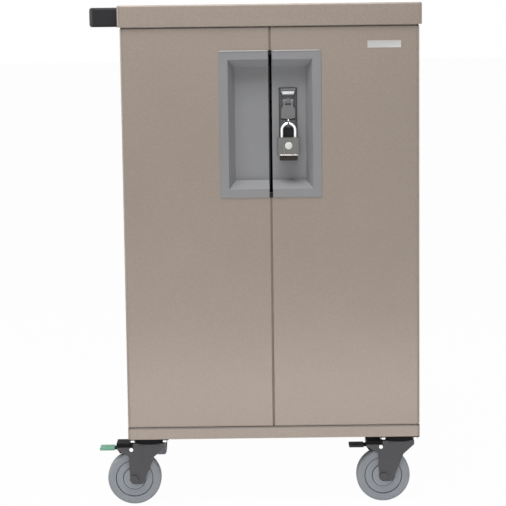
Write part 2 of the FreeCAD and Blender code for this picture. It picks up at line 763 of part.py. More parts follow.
# Middle shelf, its brackets, and the partition in front of the power bay
shelf_sheet = block(
    "shelf_sheet", both("half_inside"), ("shelf_front", "shelf_back"), ("shelf_under", "shelf_top")
)
shelf_fold = block(
    "shelf_fold", both("half_inside"), ("shelf_front", "shelf_front + metal"),
    ("shelf_top - shelf_lip", "shelf_top")
)
node("mid_shelf", fuse("mid_shelf", shelf_sheet, shelf_fold))

brackets = []
for side in (-1, 1):
    for start in ("shelf_front + bracket_inset", "partition - bracket_inset - bracket_length"):
        def leg(name, depth, drop):
            wall = (f"cab_mid + ({side}) * (half_inside - {depth})", f"cab_mid + ({side}) * (half_inside)")
            if side < 0:
                wall = (wall[1], wall[0])
            return block(
                name, wall, (start, f"{start} + bracket_length"), (f"shelf_under - {drop}", "shelf_under")
            )
        brackets.append(fuse("bracket", leg("bracket_wall", "metal", "bracket_size"),
                             leg("bracket_ledge", "bracket_size", "metal")))
node("shelf_brackets", group("shelf_brackets", brackets))


LEVELS = [("lower", "floor_top", "shelf_under"), ("upper", "shelf_top", "lid_under")]
panels = []
plates = []
strips = []
sockets = []
for level, low, high in LEVELS:
    sheet_panel = block(
        level + "_partition", both("half_inside"), ("partition", "partition + metal"), (low, high)
    )
    cable_slot = block(
        level + "_cable_slot",
        both(f"{SLOTS / 2} * slot_pitch"),
        ("partition - metal", "partition + 2 * metal"),
        about(f"{low} + divider_height + cable_rise", "cable_slot / 2"),
    )
    cable_slot = rounded(
        level + "_cable_slot_round", cable_slot, "cable_slot / 3", lambda low, high: runs(low, high, "y")
    )
    panels.append(cut(level + "_partition_panel", sheet_panel, cable_slot))
    for i in range(SLOTS + 1):
        plates.append(block(
            level + "_divider",
            about(f"cab_mid + ({i - SLOTS / 2}) * slot_pitch", "metal / 2"),
            ("divider_front", "partition"),
            (low, f"{low} + divider_height"),
        ))
    strip_mid = f"{low} + strip_rise + strip_height / 2"
    strips.append(block(
        level + "_strip",
        both("strip_length / 2"),
        ("strip_front", "strip_front + strip_depth"),
        about(strip_mid, "strip_height / 2"),
    ))
    for i in range(SOCKETS):
        middle = f"cab_mid + ({i - (SOCKETS - 1) / 2}) * socket_pitch"
        depth = ("strip_front + strip_depth", "strip_front + strip_depth + socket_proud")
        face_plate = block(
            "socket_face", about(middle, "socket_width / 2"), depth, about(strip_mid, "socket_height / 2")
        )
        slits = [
            block(
                "socket_slit",
                about(f"{middle} + ({k}) * socket_slit_apart / 2", "socket_slit / 2"),
                depth,
                about(f"{strip_mid} + socket_slit_length / 2", "socket_slit_length / 2"),
            )
            for k in (-1, 1)
        ]
        earth = rod(
            "socket_earth", "y", (middle, depth[0], f"{strip_mid} - socket_earth_drop"),
            "socket_earth", "socket_proud"
        )
        sockets.append(cut("socket", face_plate, *slits, earth))
node("partition_panels", group("partition_panels", panels))


def divider_corner(low, high):
    if not (runs(low, high, "x") and at(low, high, "y", "divider_front")):
        return False
    return any(at(low, high, "z", f"{level_low} + divider_height") for level, level_low, top in LEVELS)


dividers = rounded("slot_dividers", group("divider_plates", plates), "divider_round", divider_corner)
node("slot_dividers", dividers)
node("power_strips", group("power_strips", strips))
node("strip_sockets", group("strip_sockets", sockets))

# Power inlet and its rocker switch, low at the back of the left side
inlet_face = "panel_left - inlet_flange"
inlet_flange = block(
    "inlet_flange", (inlet_face, "panel_left"), about("inlet_mid", "inlet_width / 2"),
    ("inlet_low", "inlet_high")
)
inlet_flange = rounded(
    "inlet_flange_round", inlet_flange, "inlet_lap", lambda low, high: runs(low, high, "x")
)
inlet_box = block(
    "inlet_box",
    ("panel_left", "panel_left + inlet_depth"),
    about("inlet_mid", "inlet_width / 2 - inlet_lap"),
    ("inlet_low + inlet_lap", "inlet_high - inlet_lap"),
)
plug_hollow = block(
    "plug_hollow",
    (f"{inlet_face} - metal", f"{inlet_face} + plug_depth"),
    about("inlet_mid", "plug_width / 2"),
    ("inlet_low + plug_low", "inlet_low + plug_low + plug_height"),
)
rocker_mid = "inlet_high - rocker_high - rocker_height / 2"
rocker_axis = f"{inlet_face} + rocker_depth / 2"
rocker_hollow = block(
    "rocker_hollow",
    (f"{inlet_face} - metal", f"{inlet_face} + rocker_depth + rocker_room"),
    about("inlet_mid", "rocker_width / 2 + free_gap"),
    about(rocker_mid, "rocker_height / 2 + rocker_room"),
)
rocker_bore = rod(
    "rocker_bore", "y", (rocker_axis, "inlet_mid - rocker_width / 2 - 2 * rocker_room", rocker_mid),
    "rocker_pin + running_gap", "rocker_width + 4 * rocker_room",
)
inlet_shell = cut(
    "inlet_shell", fuse("inlet_body", inlet_flange, inlet_box),
    fuse("inlet_hollows", plug_hollow, rocker_hollow, rocker_bore),
)
blades = []
for i, rise in ((-1, -1), (0, 1), (1, -1)):
    blades.append(block(
        "inlet_blade",
        (f"{inlet_face} + plug_depth - blade_length", f"{inlet_face} + plug_depth"),
        about(f"inlet_mid + ({i}) * blade_apart", "blade_thick / 2"),
        about(f"inlet_low + plug_low + plug_height / 2 + ({rise}) * blade_width / 2", "blade_width / 2"),
    ))
node("power_inlet", fuse("power_inlet", inlet_shell, *blades))

rocker_corners = [
    ("0", "0 - rocker_height / 2"),
    ("rocker_depth", "0 - rocker_height / 5"),
    ("rocker_depth", "rocker_height / 5"),
    ("0 - rocker_rise", "rocker_height / 2"),
]
paddle = padded("rocker_paddle", "XZ_Plane", rocker_corners, "rocker_width", midplane=True)
place(paddle, inlet_face, "inlet_mid", rocker_mid)
rocker_pin = rod(
    "rocker_pin", "y", (rocker_axis, "inlet_mid - rocker_width / 2 - rocker_room", rocker_mid),
    "rocker_pin", "rocker_width + 2 * rocker_room",
)
node("power_switch", fuse("power_switch", paddle, rocker_pin))

# Push handle: a moulded loop on the lid's left side, and the bolts that hold it
grip_out = "lid_left - handle_reach"
loop = block(
    "handle_block", (grip_out, "lid_left"), about("0", "handle_length / 2"), ("handle_low", "handle_high")
)
loop = rounded(
    "handle_corners", loop, "handle_corner",
    lambda low, high: runs(low, high, "z") and at(low, high, "x", grip_out),
)
hand_hole = block(
    "hand_hole",
    (f"{grip_out} + handle_grip", "lid_left + handle_grip"),
    about("0", "handle_length / 2 - handle_arm"),
    ("handle_low - handle_drop", "handle_high + handle_drop"),
)
hand_hole = rounded(
    "hand_hole_corners", hand_hole, "handle_hole_round",
    lambda low, high: runs(low, high, "z") and at(low, high, "x", f"{grip_out} + handle_grip"),
)
loop = cut("handle_loop", loop, hand_hole)


def long_edge(low, high):
    level = at(low, high, "z", "handle_low") or at(low, high, "z", "handle_high")
    return level and not at(low, high, "x", "lid_left")


loop = rounded("handle_soft", loop, "handle_edge", long_edge)
arm_holes = []
handle_bolts = []
for y, z in handle_bolt_places():
    tip = "lid_left - handle_bolt_reach"
    arm_holes.append(rod("arm_hole", "x", (f"{tip} - bolt_gap", y, z), "handle_bolt + bolt_gap",
                         "handle_bolt_reach + bolt_gap"))
    shank = rod("handle_bolt_shank", "x", (tip, y, z), "handle_bolt", f"panel_left + metal - ({tip})")
    spacer = rod("handle_bolt_spacer", "x", ("lid_left + metal", y, z), "handle_bolt_head",
                 "panel_left - (lid_left) - metal")
    head = rod(
        "handle_bolt_head", "x", ("panel_left + metal", y, z), "handle_bolt_head", "handle_bolt_height"
    )
    handle_bolts.append(fuse("handle_bolt", shank, spacer, head))
node("push_handle", cut("push_handle", loop, *arm_holes))
node("push_handle_bolts", group("push_handle_bolts", handle_bolts))


# Doors: folded pans with a turned-in lip round the back
def door_pan(name, x, front, way, holes, outer=None):
    def y(start, stop):
        pair = (f"{front} + ({way}) * ({start})", f"{front} + ({way}) * ({stop})")
        return pair if way > 0 else (pair[1], pair[0])

    def inset(pair, by):
        return (f"{pair[0]} + {by}", f"{pair[1]} - {by}")

    def soften(label, box, sides, face_y, less):
        """Round the outer upright edge, if there is one, and then the rest of the face."""
        if outer is not None:
            box = rounded(
                label + "_corner", box, f"door_corner - {less}",
                lambda low, high: runs(low, high, "z") and at(low, high, "y", face_y)
                and at(low, high, "x", sides[outer]),
            )

        def rim(low, high):
            free = outer is None or not runs(low, high, "z") or at(low, high, "x", sides[1 - outer])
            return at(low, high, "y", face_y) and free

        return rounded(label, box, f"door_edge - {less}", rim)

    z = ("door_low", "door_high")
    shell = block(name + "_block", x, y("0", "door_depth"), z)
    shell = soften(name + "_shell", shell, x, front, "0")
    inside_x = inset(x, "metal")
    inside = block(name + "_inside", inside_x, y("metal", "door_depth - metal"), inset(z, "metal"))
    inside = soften(name + "_hollow", inside, inside_x, f"{front} + ({way}) * metal", "metal")
    mouth = block(
        name + "_mouth", inset(x, "door_lip"), y("door_depth - 2 * metal", "door_depth + metal"),
        inset(z, "door_lip")
    )
    pin_holes = [
        pivot_hole(name + "_low_hole", name, "door_low - metal", "3 * metal", "fixed_gap"),
        pivot_hole(name + "_high_hole", name, "door_high - 2 * metal", "3 * metal", "fixed_gap"),
    ]
    return node(
        name, cut(name, cut(name + "_pan", cut(name + "_box", shell, inside), mouth), *pin_holes, *holes)
    )


def door_pins(name):
    """The two pins that a door turns on, each clinched through the door's folded edge."""
    x, y = PIVOTS[name]
    spans = [
        ("low", "floor_top - pivot_reach", "floor_top + free_gap", "door_low",
         "door_low + metal", "door_low + metal + pivot_head_height"),
        ("high", "lid_low + pivot_reach", "lid_low - free_gap", "door_high",
         "door_high - metal", "door_high - metal - pivot_head_height"),
    ]
    pins = []
    for end, tip, collar, edge, head, finish in spans:
        def bar(part, radius, start, stop):
            if end == "high":
                start, stop = stop, start
            return rod(f"{name}_{end}_{part}", "z", (x, y, start), radius, f"{stop} - ({start})")
        pins.append(fuse(
            f"{name}_{end}_pin",
            bar("shank", "pivot_radius", tip, finish),
            bar("collar", "pivot_head", collar, edge),
            bar("head", "pivot_clinch", head, finish),
        ))
    return node(name + "_pivots", group(name + "_pivots", pins))


def pocket_hole(name, side):
    left_half = across("0 - pocket_width / 2 + pocket_lap", "0")
    right_half = across("0", "pocket_width / 2 - pocket_lap")
    x = left_half if side < 0 else right_half
    return block(
        name, x, ("face - metal", "door_rear + metal"),
        ("pocket_low + pocket_lap", "pocket_high - pocket_lap")
    )


door_pan(
    "left_door", across("0 - door_outer", "0 - door_free"), "face", 1,
    [pocket_hole("left_pocket_hole", -1)], 0,
)
door_pins("left_door")
door_pan("right_door", across("door_free", "door_outer"), "face", 1, [pocket_hole("right_pocket_hole", 1)], 1)
door_pins("right_door")


# Handle pocket: two sloped half trays whose rims lie on the doors
def pocket_half(label, side, floor_holes):
    def x(start, stop):
        return across(start, stop) if side > 0 else across(f"0 - ({stop})", f"0 - ({start})")

    rim_out = "pocket_width / 2"
    rim_in = "pocket_width / 2 - pocket_rim"
    foot = "pocket_width / 2 - pocket_rim - pocket_side_slope"
    seam = "pocket_gap / 2"
    rim = block(
        label + "_rim_block", x(seam, rim_out), ("face - pocket_proud", "face"), ("pocket_low", "pocket_high")
    )
    edge = f"cab_mid + ({side}) * pocket_width / 2"
    rim = rounded(
        label + "_rim_corners", rim, "pocket_round",
        lambda low, high: runs(low, high, "y") and at(low, high, "x", edge),
    )
    rim = rounded(
        label + "_rim", rim, "pocket_proud / 2", lambda low, high: at(low, high, "y", "face - pocket_proud")
    )

    def tray(name, y, start, grow):
        return frustum(
            name, y,
            (x(start, f"{rim_in} + {grow}"),
             (f"pocket_low + pocket_rim - {grow}", f"pocket_high - pocket_rim + {grow}")),
            (x(start, f"{foot} + {grow}"),
             (f"pocket_low + pocket_rim + pocket_end_slope - {grow}",
              f"pocket_high - pocket_rim - pocket_end_slope + {grow}")),
        )

    outside = tray(label + "_outside", ("face - pocket_proud / 2", "pocket_rear"), seam, "pocket_wall")
    inside = tray(label + "_inside", ("face - pocket_proud", "pocket_floor"), "0", "0")
    shell = cut(label + "_shell", fuse(label + "_solid", rim, outside), inside)
    return node(label, cut(label, shell, *floor_holes) if floor_holes else shell)


boss_hole = block(
    "boss_hole",
    about("dish_mid", "boss_width / 2 + fixed_gap"),
    ("pocket_floor - metal", "pocket_rear + metal"),
    ("dish_low + boss_margin - fixed_gap", "dish_high - boss_margin + fixed_gap"),
)
pocket_half("left_pocket", -1, [])
pocket_half("right_pocket", 1, [boss_hole])

# Swing handle housing: flange on the pocket's floor, boss through it, sloped top, finger hollow
# under a bridge, and the padlock staple on the bridge
flange = block(
    "dish_flange", about("dish_mid", "dish_width / 2"),
    ("dish_front", "pocket_floor"), ("dish_low", "dish_high")
)
flange = rounded("dish_flange_round", flange, "dish_round", lambda low, high: runs(low, high, "y"))
boss = block(
    "dish_boss",
    about("dish_mid", "boss_width / 2"),
    ("pocket_floor", "boss_rear"),
    ("dish_low + boss_margin", "dish_high - boss_margin"),
)
ramp_low = "dish_high - ramp_gap - ramp_height"
ramp = frustum(
    "dish_ramp",
    ("dish_front - ramp_rise", "dish_front"),
    (about("dish_mid", "dish_width / 2 - ramp_gap - ramp_taper"), (ramp_low, f"{ramp_low} + ramp_gap")),
    (about("dish_mid", "dish_width / 2 - ramp_gap"), (ramp_low, "dish_high - ramp_gap")),
)
bridge = block(
    "staple_bridge", about("dish_mid", "lever_width / 2"),
    ("lever_front", "dish_front"), ("bridge_low", "bridge_high")
)
fin = block(
    "staple_fin",
    about("dish_mid", "staple_thick / 2"),
    ("lever_front - staple_reach", "lever_front"),
    ("bridge_low", "bridge_high"),
)
fin = rounded(
    "staple_fin_round", fin, "staple_hole",
    lambda low, high: runs(low, high, "x") and at(low, high, "y", "lever_front - staple_reach"),
)
finger_hollow = block(
    "finger_hollow",
    about("dish_mid", "boss_width / 2 - cavity_wall"),
    ("dish_front - metal", "boss_rear - cavity_wall"),
    ("bridge_low - cavity_height", "bridge_low"),
)
spindle_bore = rod(
    "spindle_bore", "y", ("dish_mid", "dish_front - metal", "hub_high"), "spindle_radius + running_gap",
    "boss_rear - (dish_front) + 2 * metal",
)
staple_eye = rod(
    "staple_eye", "x", ("dish_mid - staple_thick", "eye_front", "eye_high"), "staple_hole", "2 * staple_thick"
)
node("handle_housing", cut(
    "handle_housing", fuse("housing_body", flange, boss, ramp, bridge, fin),
    finger_hollow, spindle_bore, staple_eye
))

# Hub of the swing handle, with its shaft, and the latch cam on the shaft's end
hub_plate = rod("hub_plate", "y", ("dish_mid", "hub_front", "hub_high"), "hub_radius", "hub_plate")
hub_block = block(
    "hub_block", about("dish_mid", "hub_block / 2"), ("lever_front", "hub_front"),
    about("hub_high", "lever_cheek")
)
hub_block = rounded(
    "hub_block_round", hub_block, "lever_cheek / 2",
    lambda low, high: runs(low, high, "x") and at(low, high, "y", "lever_front"),
)
spindle = rod(
    "spindle", "y", ("dish_mid", "hub_front", "hub_high"), "spindle_radius", "cam_rear - (hub_front)"
)
lever_bore = rod(
    "lever_bore", "x", ("dish_mid - hub_block", "lever_axis", "hub_high"),
    "lever_pin + running_gap", "2 * hub_block"
)
node("handle_hub", cut("handle_hub", fuse("hub_body", hub_plate, hub_block, spindle), lever_bore))

cam_disc = rod("cam_disc", "y", ("dish_mid", "cam_front", "hub_high"), "cam_radius", "cam_thick")
cam_bore = rod(
    "cam_bore", "y", ("dish_mid", "cam_front - metal", "hub_high"), "spindle_radius + fixed_gap",
    "cam_thick + 2 * metal",
)
upper_pin = rod(
    "cam_upper_pin", "y", ("dish_mid", "cam_rear", "hub_high + cam_throw"), "cam_pin",
    "upper_rod_front + rod_thick - (cam_rear)",
)
lower_pin = rod(
    "cam_lower_pin", "y", ("dish_mid", "cam_rear", "hub_high - cam_throw"), "cam_pin",
    "lower_rod_front + rod_thick - (cam_rear)",
)
node("latch_cam", fuse("latch_cam", cut("cam_ring", cam_disc, cam_bore), upper_pin, lower_pin))

# Lever: hangs from a pin in the hub, with a round tip that clears the staple's bridge
LEVER = [
    ("0 - lever_neck / 2", "0"),
    ("0 - lever_neck / 2", "0 - lever_shrug"),
    ("0 - lever_width / 2", "0 - lever_shoulder"),
    ("0 - lever_width / 2", "0 - lever_reach"),
    ("lever_width / 2", "0 - lever_reach"),
    ("lever_width / 2", "0 - lever_shoulder"),
    ("lever_neck / 2", "0 - lever_shrug"),
    ("lever_neck / 2", "0"),
]
lever_bar = padded("lever_bar", "XZ_Plane", LEVER, "lever_depth")
place(lever_bar, "dish_mid", "lever_rear", "hub_high")
lever_sweep = rod(
    "lever_sweep", "y", ("dish_mid", "lever_front - metal", "hub_high"),
    "lever_reach", "lever_depth + 2 * metal"
)
lever_face = doc.addObject("Part::Common", "lever_face")
lever_face.Base = lever_bar
lever_face.Tool = lever_sweep
cheeks = rod(
    "lever_cheeks", "x", ("dish_mid - lever_neck / 2", "lever_axis", "hub_high"), "lever_cheek", "lever_neck"
)
lever_window = block(
    "lever_window",
    about("dish_mid", "hub_block / 2 + free_gap"),
    ("lever_front - metal", "lever_rear + metal"),
    ("hub_high - lever_waist", "hub_high + lever_waist"),
)
lever_body = cut("lever_body", fuse("lever_blank", lever_face, cheeks), lever_window)
lever_body = rounded(
    "lever_soft", lever_body, "lever_pin / 2",
    lambda low, high: at(low, high, "y", "lever_front") and high.z < value("hub_high - lever_waist") - NEAR,
)
lever_pin = rod(
    "lever_pin", "x", ("dish_mid - lever_neck / 2 + metal", "lever_axis", "hub_high"), "lever_pin",
    "lever_neck - 2 * metal",
)
node("handle_lever", fuse("handle_lever", lever_body, lever_pin))


# Latch rods: flat bars, each with a cross slot that the cam's pin runs in
def latch_rod(label, way, front):
    def z(text):
        return f"hub_high + ({way}) * ({text})"

    def x(text):
        return f"dish_mid + ({way}) * ({text})"

    def pair(low, high, place_of):
        ends = (place_of(low), place_of(high))
        return ends if way > 0 else (ends[1], ends[0])

    depth = (front, f"{front} + rod_thick")
    near = "cam_throw - cam_pin - free_gap"
    far = "cam_throw + cam_pin + yoke_slack"
    left = "0 - cam_pin - free_gap"
    right = "cam_throw + cam_pin + free_gap"
    tip = "door_high + rod_reach" if way > 0 else "door_low - rod_reach"
    shank = (z(f"{far} + yoke_rim"), tip) if way > 0 else (tip, z(f"{far} + yoke_rim"))
    yoke = block(
        label + "_yoke", pair(f"{left} - yoke_rim", f"{right} + yoke_rim", x), depth,
        pair(f"{near} - yoke_rim", f"{far} + yoke_rim", z),
    )
    slot = block(label + "_slot", pair(left, right, x), depth, pair(near, far, z))
    bar = block(label + "_bar", about("dish_mid", "rod_width / 2"), depth, shank)
    return node(label, cut(label, fuse(label + "_blank", yoke, bar), slot))


latch_rod("upper_latch_rod", 1, "upper_rod_front")
latch_rod("lower_latch_rod", -1, "lower_rod_front")


def rod_guide(name, front, z):
    body = block(name + "_block", about("dish_mid", "guide_width / 2"), ("door_rear", "guide_rear"), z)
    way = block(
        name + "_way",
        about("dish_mid", "rod_width / 2 + free_gap"),
        (f"{front} - free_gap", f"{front} + rod_thick + free_gap"),
        (f"{z[0]} - metal", f"{z[1]} + metal"),
    )
    return cut(name, body, way)


node("rod_guides", group("rod_guides", [
    rod_guide("upper_guide", "upper_rod_front", ("door_high - metal - guide_height", "door_high - metal")),
    rod_guide("lower_guide", "lower_rod_front", ("door_low + metal", "door_low + metal + guide_height")),
]))

# Seam strip: stiffens the left door's free edge and backs its half of the seam
strip_rear = "pocket_rear + strip_gap"
strip = block(
    "seam_strip_sheet",
    across("0 - strip_hold", "0 - strip_short"),
    (strip_rear, f"{strip_rear} + metal"),
    ("door_low", "door_high"),
)
spacers = [
    block("seam_spacer", across("0 - strip_hold", "0 - door_free - metal"), ("door_rear", strip_rear), z)
    for z in (("door_low", "pocket_low"), ("pocket_high", "door_high"))
]
node("seam_strip", fuse("seam_strip", strip, *spacers))

node("badge_plate", block(
    "badge_plate",
    across("door_outer - badge_inset - badge_width", "door_outer - badge_inset"),
    ("face - badge_thick", "face"),
    ("door_high - badge_drop - badge_height", "door_high - badge_drop"),
))

# Padlock: bent rod shackle through the staple, body with the shackle's two bores, lower guard
bow = doc.addObject("Part::Torus", "shackle_bow")
bow.Angle3 = 180
bow.Placement = FreeCAD.Placement(FreeCAD.Vector(), FreeCAD.Rotation(FreeCAD.Vector(1, 0, 0), 90))
bind(bow, Radius1="shackle_bend", Radius2="shackle_rod")
place(bow, "dish_mid", "eye_front", "bow_high")
legs = []
bores = []
for side, sunk in ((-1, "shackle_heel"), (1, "shackle_toe")):
    x = f"dish_mid + ({side}) * shackle_bend"
    legs.append(rod("shackle_leg", "z", (x, "eye_front", f"lock_high - {sunk}"), "shackle_rod",
                    f"bow_high - (lock_high) + {sunk}"))
    bores.append(rod("shackle_bore", "z", (x, "eye_front", f"lock_high - {sunk} - metal"),
                     "shackle_rod + free_gap", f"{sunk} + 2 * metal"))
node("padlock_shackle", fuse("padlock_shackle", bow, *legs))

lock_case = block(
    "lock_case", about("dish_mid", "lock_width / 2"),
    about("eye_front", "lock_depth / 2"), ("lock_low", "lock_high")
)
lock_case = rounded("lock_case_round", lock_case, "lock_round", upright)
lock_disc = rod(
    "lock_disc", "y",
    ("dish_mid", "eye_front - lock_depth / 2 - lock_disc_proud", "lock_high - lock_disc_drop"),
    "lock_disc", "lock_disc_proud + metal",
)
node("padlock_body", cut("padlock_body", fuse("lock_front", lock_case, lock_disc), *bores))
lock_foot = block(
    "lock_foot",
    about("dish_mid", "lock_foot_width / 2"),
    about("eye_front", "lock_foot_depth / 2"),
    ("lock_low - lock_foot_height", "lock_low"),
)
node("padlock_guard", rounded(
    "padlock_guard", lock_foot, "lock_round", lambda low, high: not at(low, high, "z", "lock_low")
))

# Rear door, with vent slots, its cam lock and tongue
vents = []
for column in (-1, 1):
    for i in range(VENTS):
        for z in (f"door_high - vent_inset - {i} * vent_pitch", f"door_low + vent_inset + {i} * vent_pitch"):
            vents.append(block(
                "rear_vent",
                about(f"cab_mid + ({column}) * vent_column", "vent_length / 2"),
                ("back - 2 * metal", "back + metal"),
                about(z, "vent_height / 2"),
            ))
lock_hole = rod(
    "lock_hole", "y", ("lock_mid", "back - 2 * metal", "lock_rise_high"),
    "barrel_radius + fixed_gap", "3 * metal"
)
door_pan("rear_door", both("rear_outer"), "back", -1, vents + [lock_hole])
door_pins("rear_door")

barrel = rod("barrel", "y", ("lock_mid", "barrel_rear", "lock_rise_high"), "barrel_radius", "barrel_length")
barrel_face = rod(
    "barrel_face", "y", ("lock_mid", "back", "lock_rise_high"), "barrel_flange", "barrel_flange_thick"
)
barrel_bore = rod(
    "barrel_bore", "y", ("lock_mid", "barrel_rear - metal", "lock_rise_high"), "plug_radius + running_gap",
    "barrel_length + barrel_flange_thick + 2 * metal",
)
node("rear_lock_barrel", cut("rear_lock_barrel", fuse("barrel_body", barrel, barrel_face), barrel_bore))

tongue_rear = "barrel_rear - free_gap - tongue_thick"
plug = rod(
    "lock_plug", "y", ("lock_mid", tongue_rear, "lock_rise_high"), "plug_radius",
    f"back + barrel_flange_thick - free_gap - ({tongue_rear})",
)
tongue = block(
    "lock_tongue",
    ("lock_mid - tongue_reach", "lock_mid + tongue_width / 2"),
    (tongue_rear, f"{tongue_rear} + tongue_thick"),
    about("lock_rise_high", "tongue_width / 2"),
)
tongue = rounded("lock_tongue_round", tongue, "tongue_thick", lambda low, high: runs(low, high, "y"))
keyway = block(
    "keyway",
    about("lock_mid", "free_gap * 2"),
    ("back", "back + barrel_flange_thick"),
    about("lock_rise_high", "plug_radius * 2 / 3"),
)
node("rear_lock_cam", cut("rear_lock_cam", fuse("lock_cam_body", plug, tongue), keyway))


# Casters. Each plate carries its swivel race and king pin, and is bolted under the base pan
caster_plates = []
caster_bolts = []
for name, side, end in CASTERS:
    x, y = king_place(side, end)
    slab = block(
        name + "_slab", about(x, "plate_length / 2"), about(y, "plate_width / 2"),
        ("plate_low", "caster_height")
    )
    slab = rounded(name + "_slab_round", slab, "plate_round", upright)
    race = rod(name + "_race", "z", (x, y, "race_low"), "race_radius", "race_height")
    king_low = "crown_low - free_gap - king_head_height"
    king = rod(name + "_king", "z", (x, y, king_low), "king_radius", f"race_low - ({king_low})")
    king_head = rod(name + "_king_head", "z", (x, y, king_low), "king_head", "king_head_height")
    plate_holes = []
    for bolt_x, bolt_y in bolt_places(side, end):
        plate_holes.append(rod(
            "plate_hole", "z", (bolt_x, bolt_y, "plate_low - metal"), "plate_bolt + bolt_gap",
            "plate_thick + 2 * metal",
        ))
        head = hexagon("bolt_head", "z", (bolt_x, bolt_y, "plate_low - plate_bolt_height"), "plate_bolt_head",
                       "plate_bolt_height")
        shank = rod("bolt_shank", "z", (bolt_x, bolt_y, "plate_low - plate_bolt_height"), "plate_bolt",
                    "plate_bolt_height + plate_thick + pan_metal + plate_bolt_end")
        nut = hexagon("bolt_nut", "z", (bolt_x, bolt_y, "caster_height + pan_metal"), "plate_bolt_head",
                      "plate_bolt_height")
        caster_bolts.append(fuse("caster_bolt", head, shank, nut))
    caster_plates.append(
        cut(name + "_plate", fuse(name + "_plate_body", slab, race, king, king_head), *plate_holes)
    )
node("caster_plates", group("caster_plates", caster_plates))
node("caster_bolts", group("caster_bolts", caster_bolts))

# A fork's outline seen from the side, from its axle. The front axles trail to the cart's left,
# and the rear casters are turned so that theirs trail to the front
FORK = [
    ("0 - fork_brow", "crown_high"),
    ("0 - fork_brow", "wheel_radius + fork_brow_height"),
    ("0 - fork_shin", "wheel_radius + fork_shin_height"),
    ("0 - fork_front", "wheel_radius - fork_foot"),
    ("fork_heel", "wheel_radius - fork_foot"),
    ("fork_calf", "wheel_radius + fork_calf_height"),
    ("fork_knee", "wheel_radius + fork_knee_height"),
    ("fork_tail", "wheel_radius + fork_tail_height"),
    ("fork_tail", "crown_high"),
]
PEDAL = [
    ("pedal_eye - pedal_pin_ahead", "wheel_radius + pedal_pin_height + pedal_eye"),
    ("pedal_eye - pedal_pin_ahead", "wheel_radius + pedal_pin_height - pedal_eye"),
    ("0 - shoe_near", "wheel_radius + shoe_near_height"),
    ("0 - shoe_far", "wheel_radius + shoe_far_height"),
    ("0 - shoe_back", "wheel_radius + pedal_rise"),
    ("0 - pedal_end", "wheel_radius + pedal_rise"),
    ("0 - pedal_end", "wheel_radius + pedal_rise + pedal_thick"),
    ("0 - shoe_back", "wheel_radius + pedal_rise + pedal_thick"),
]


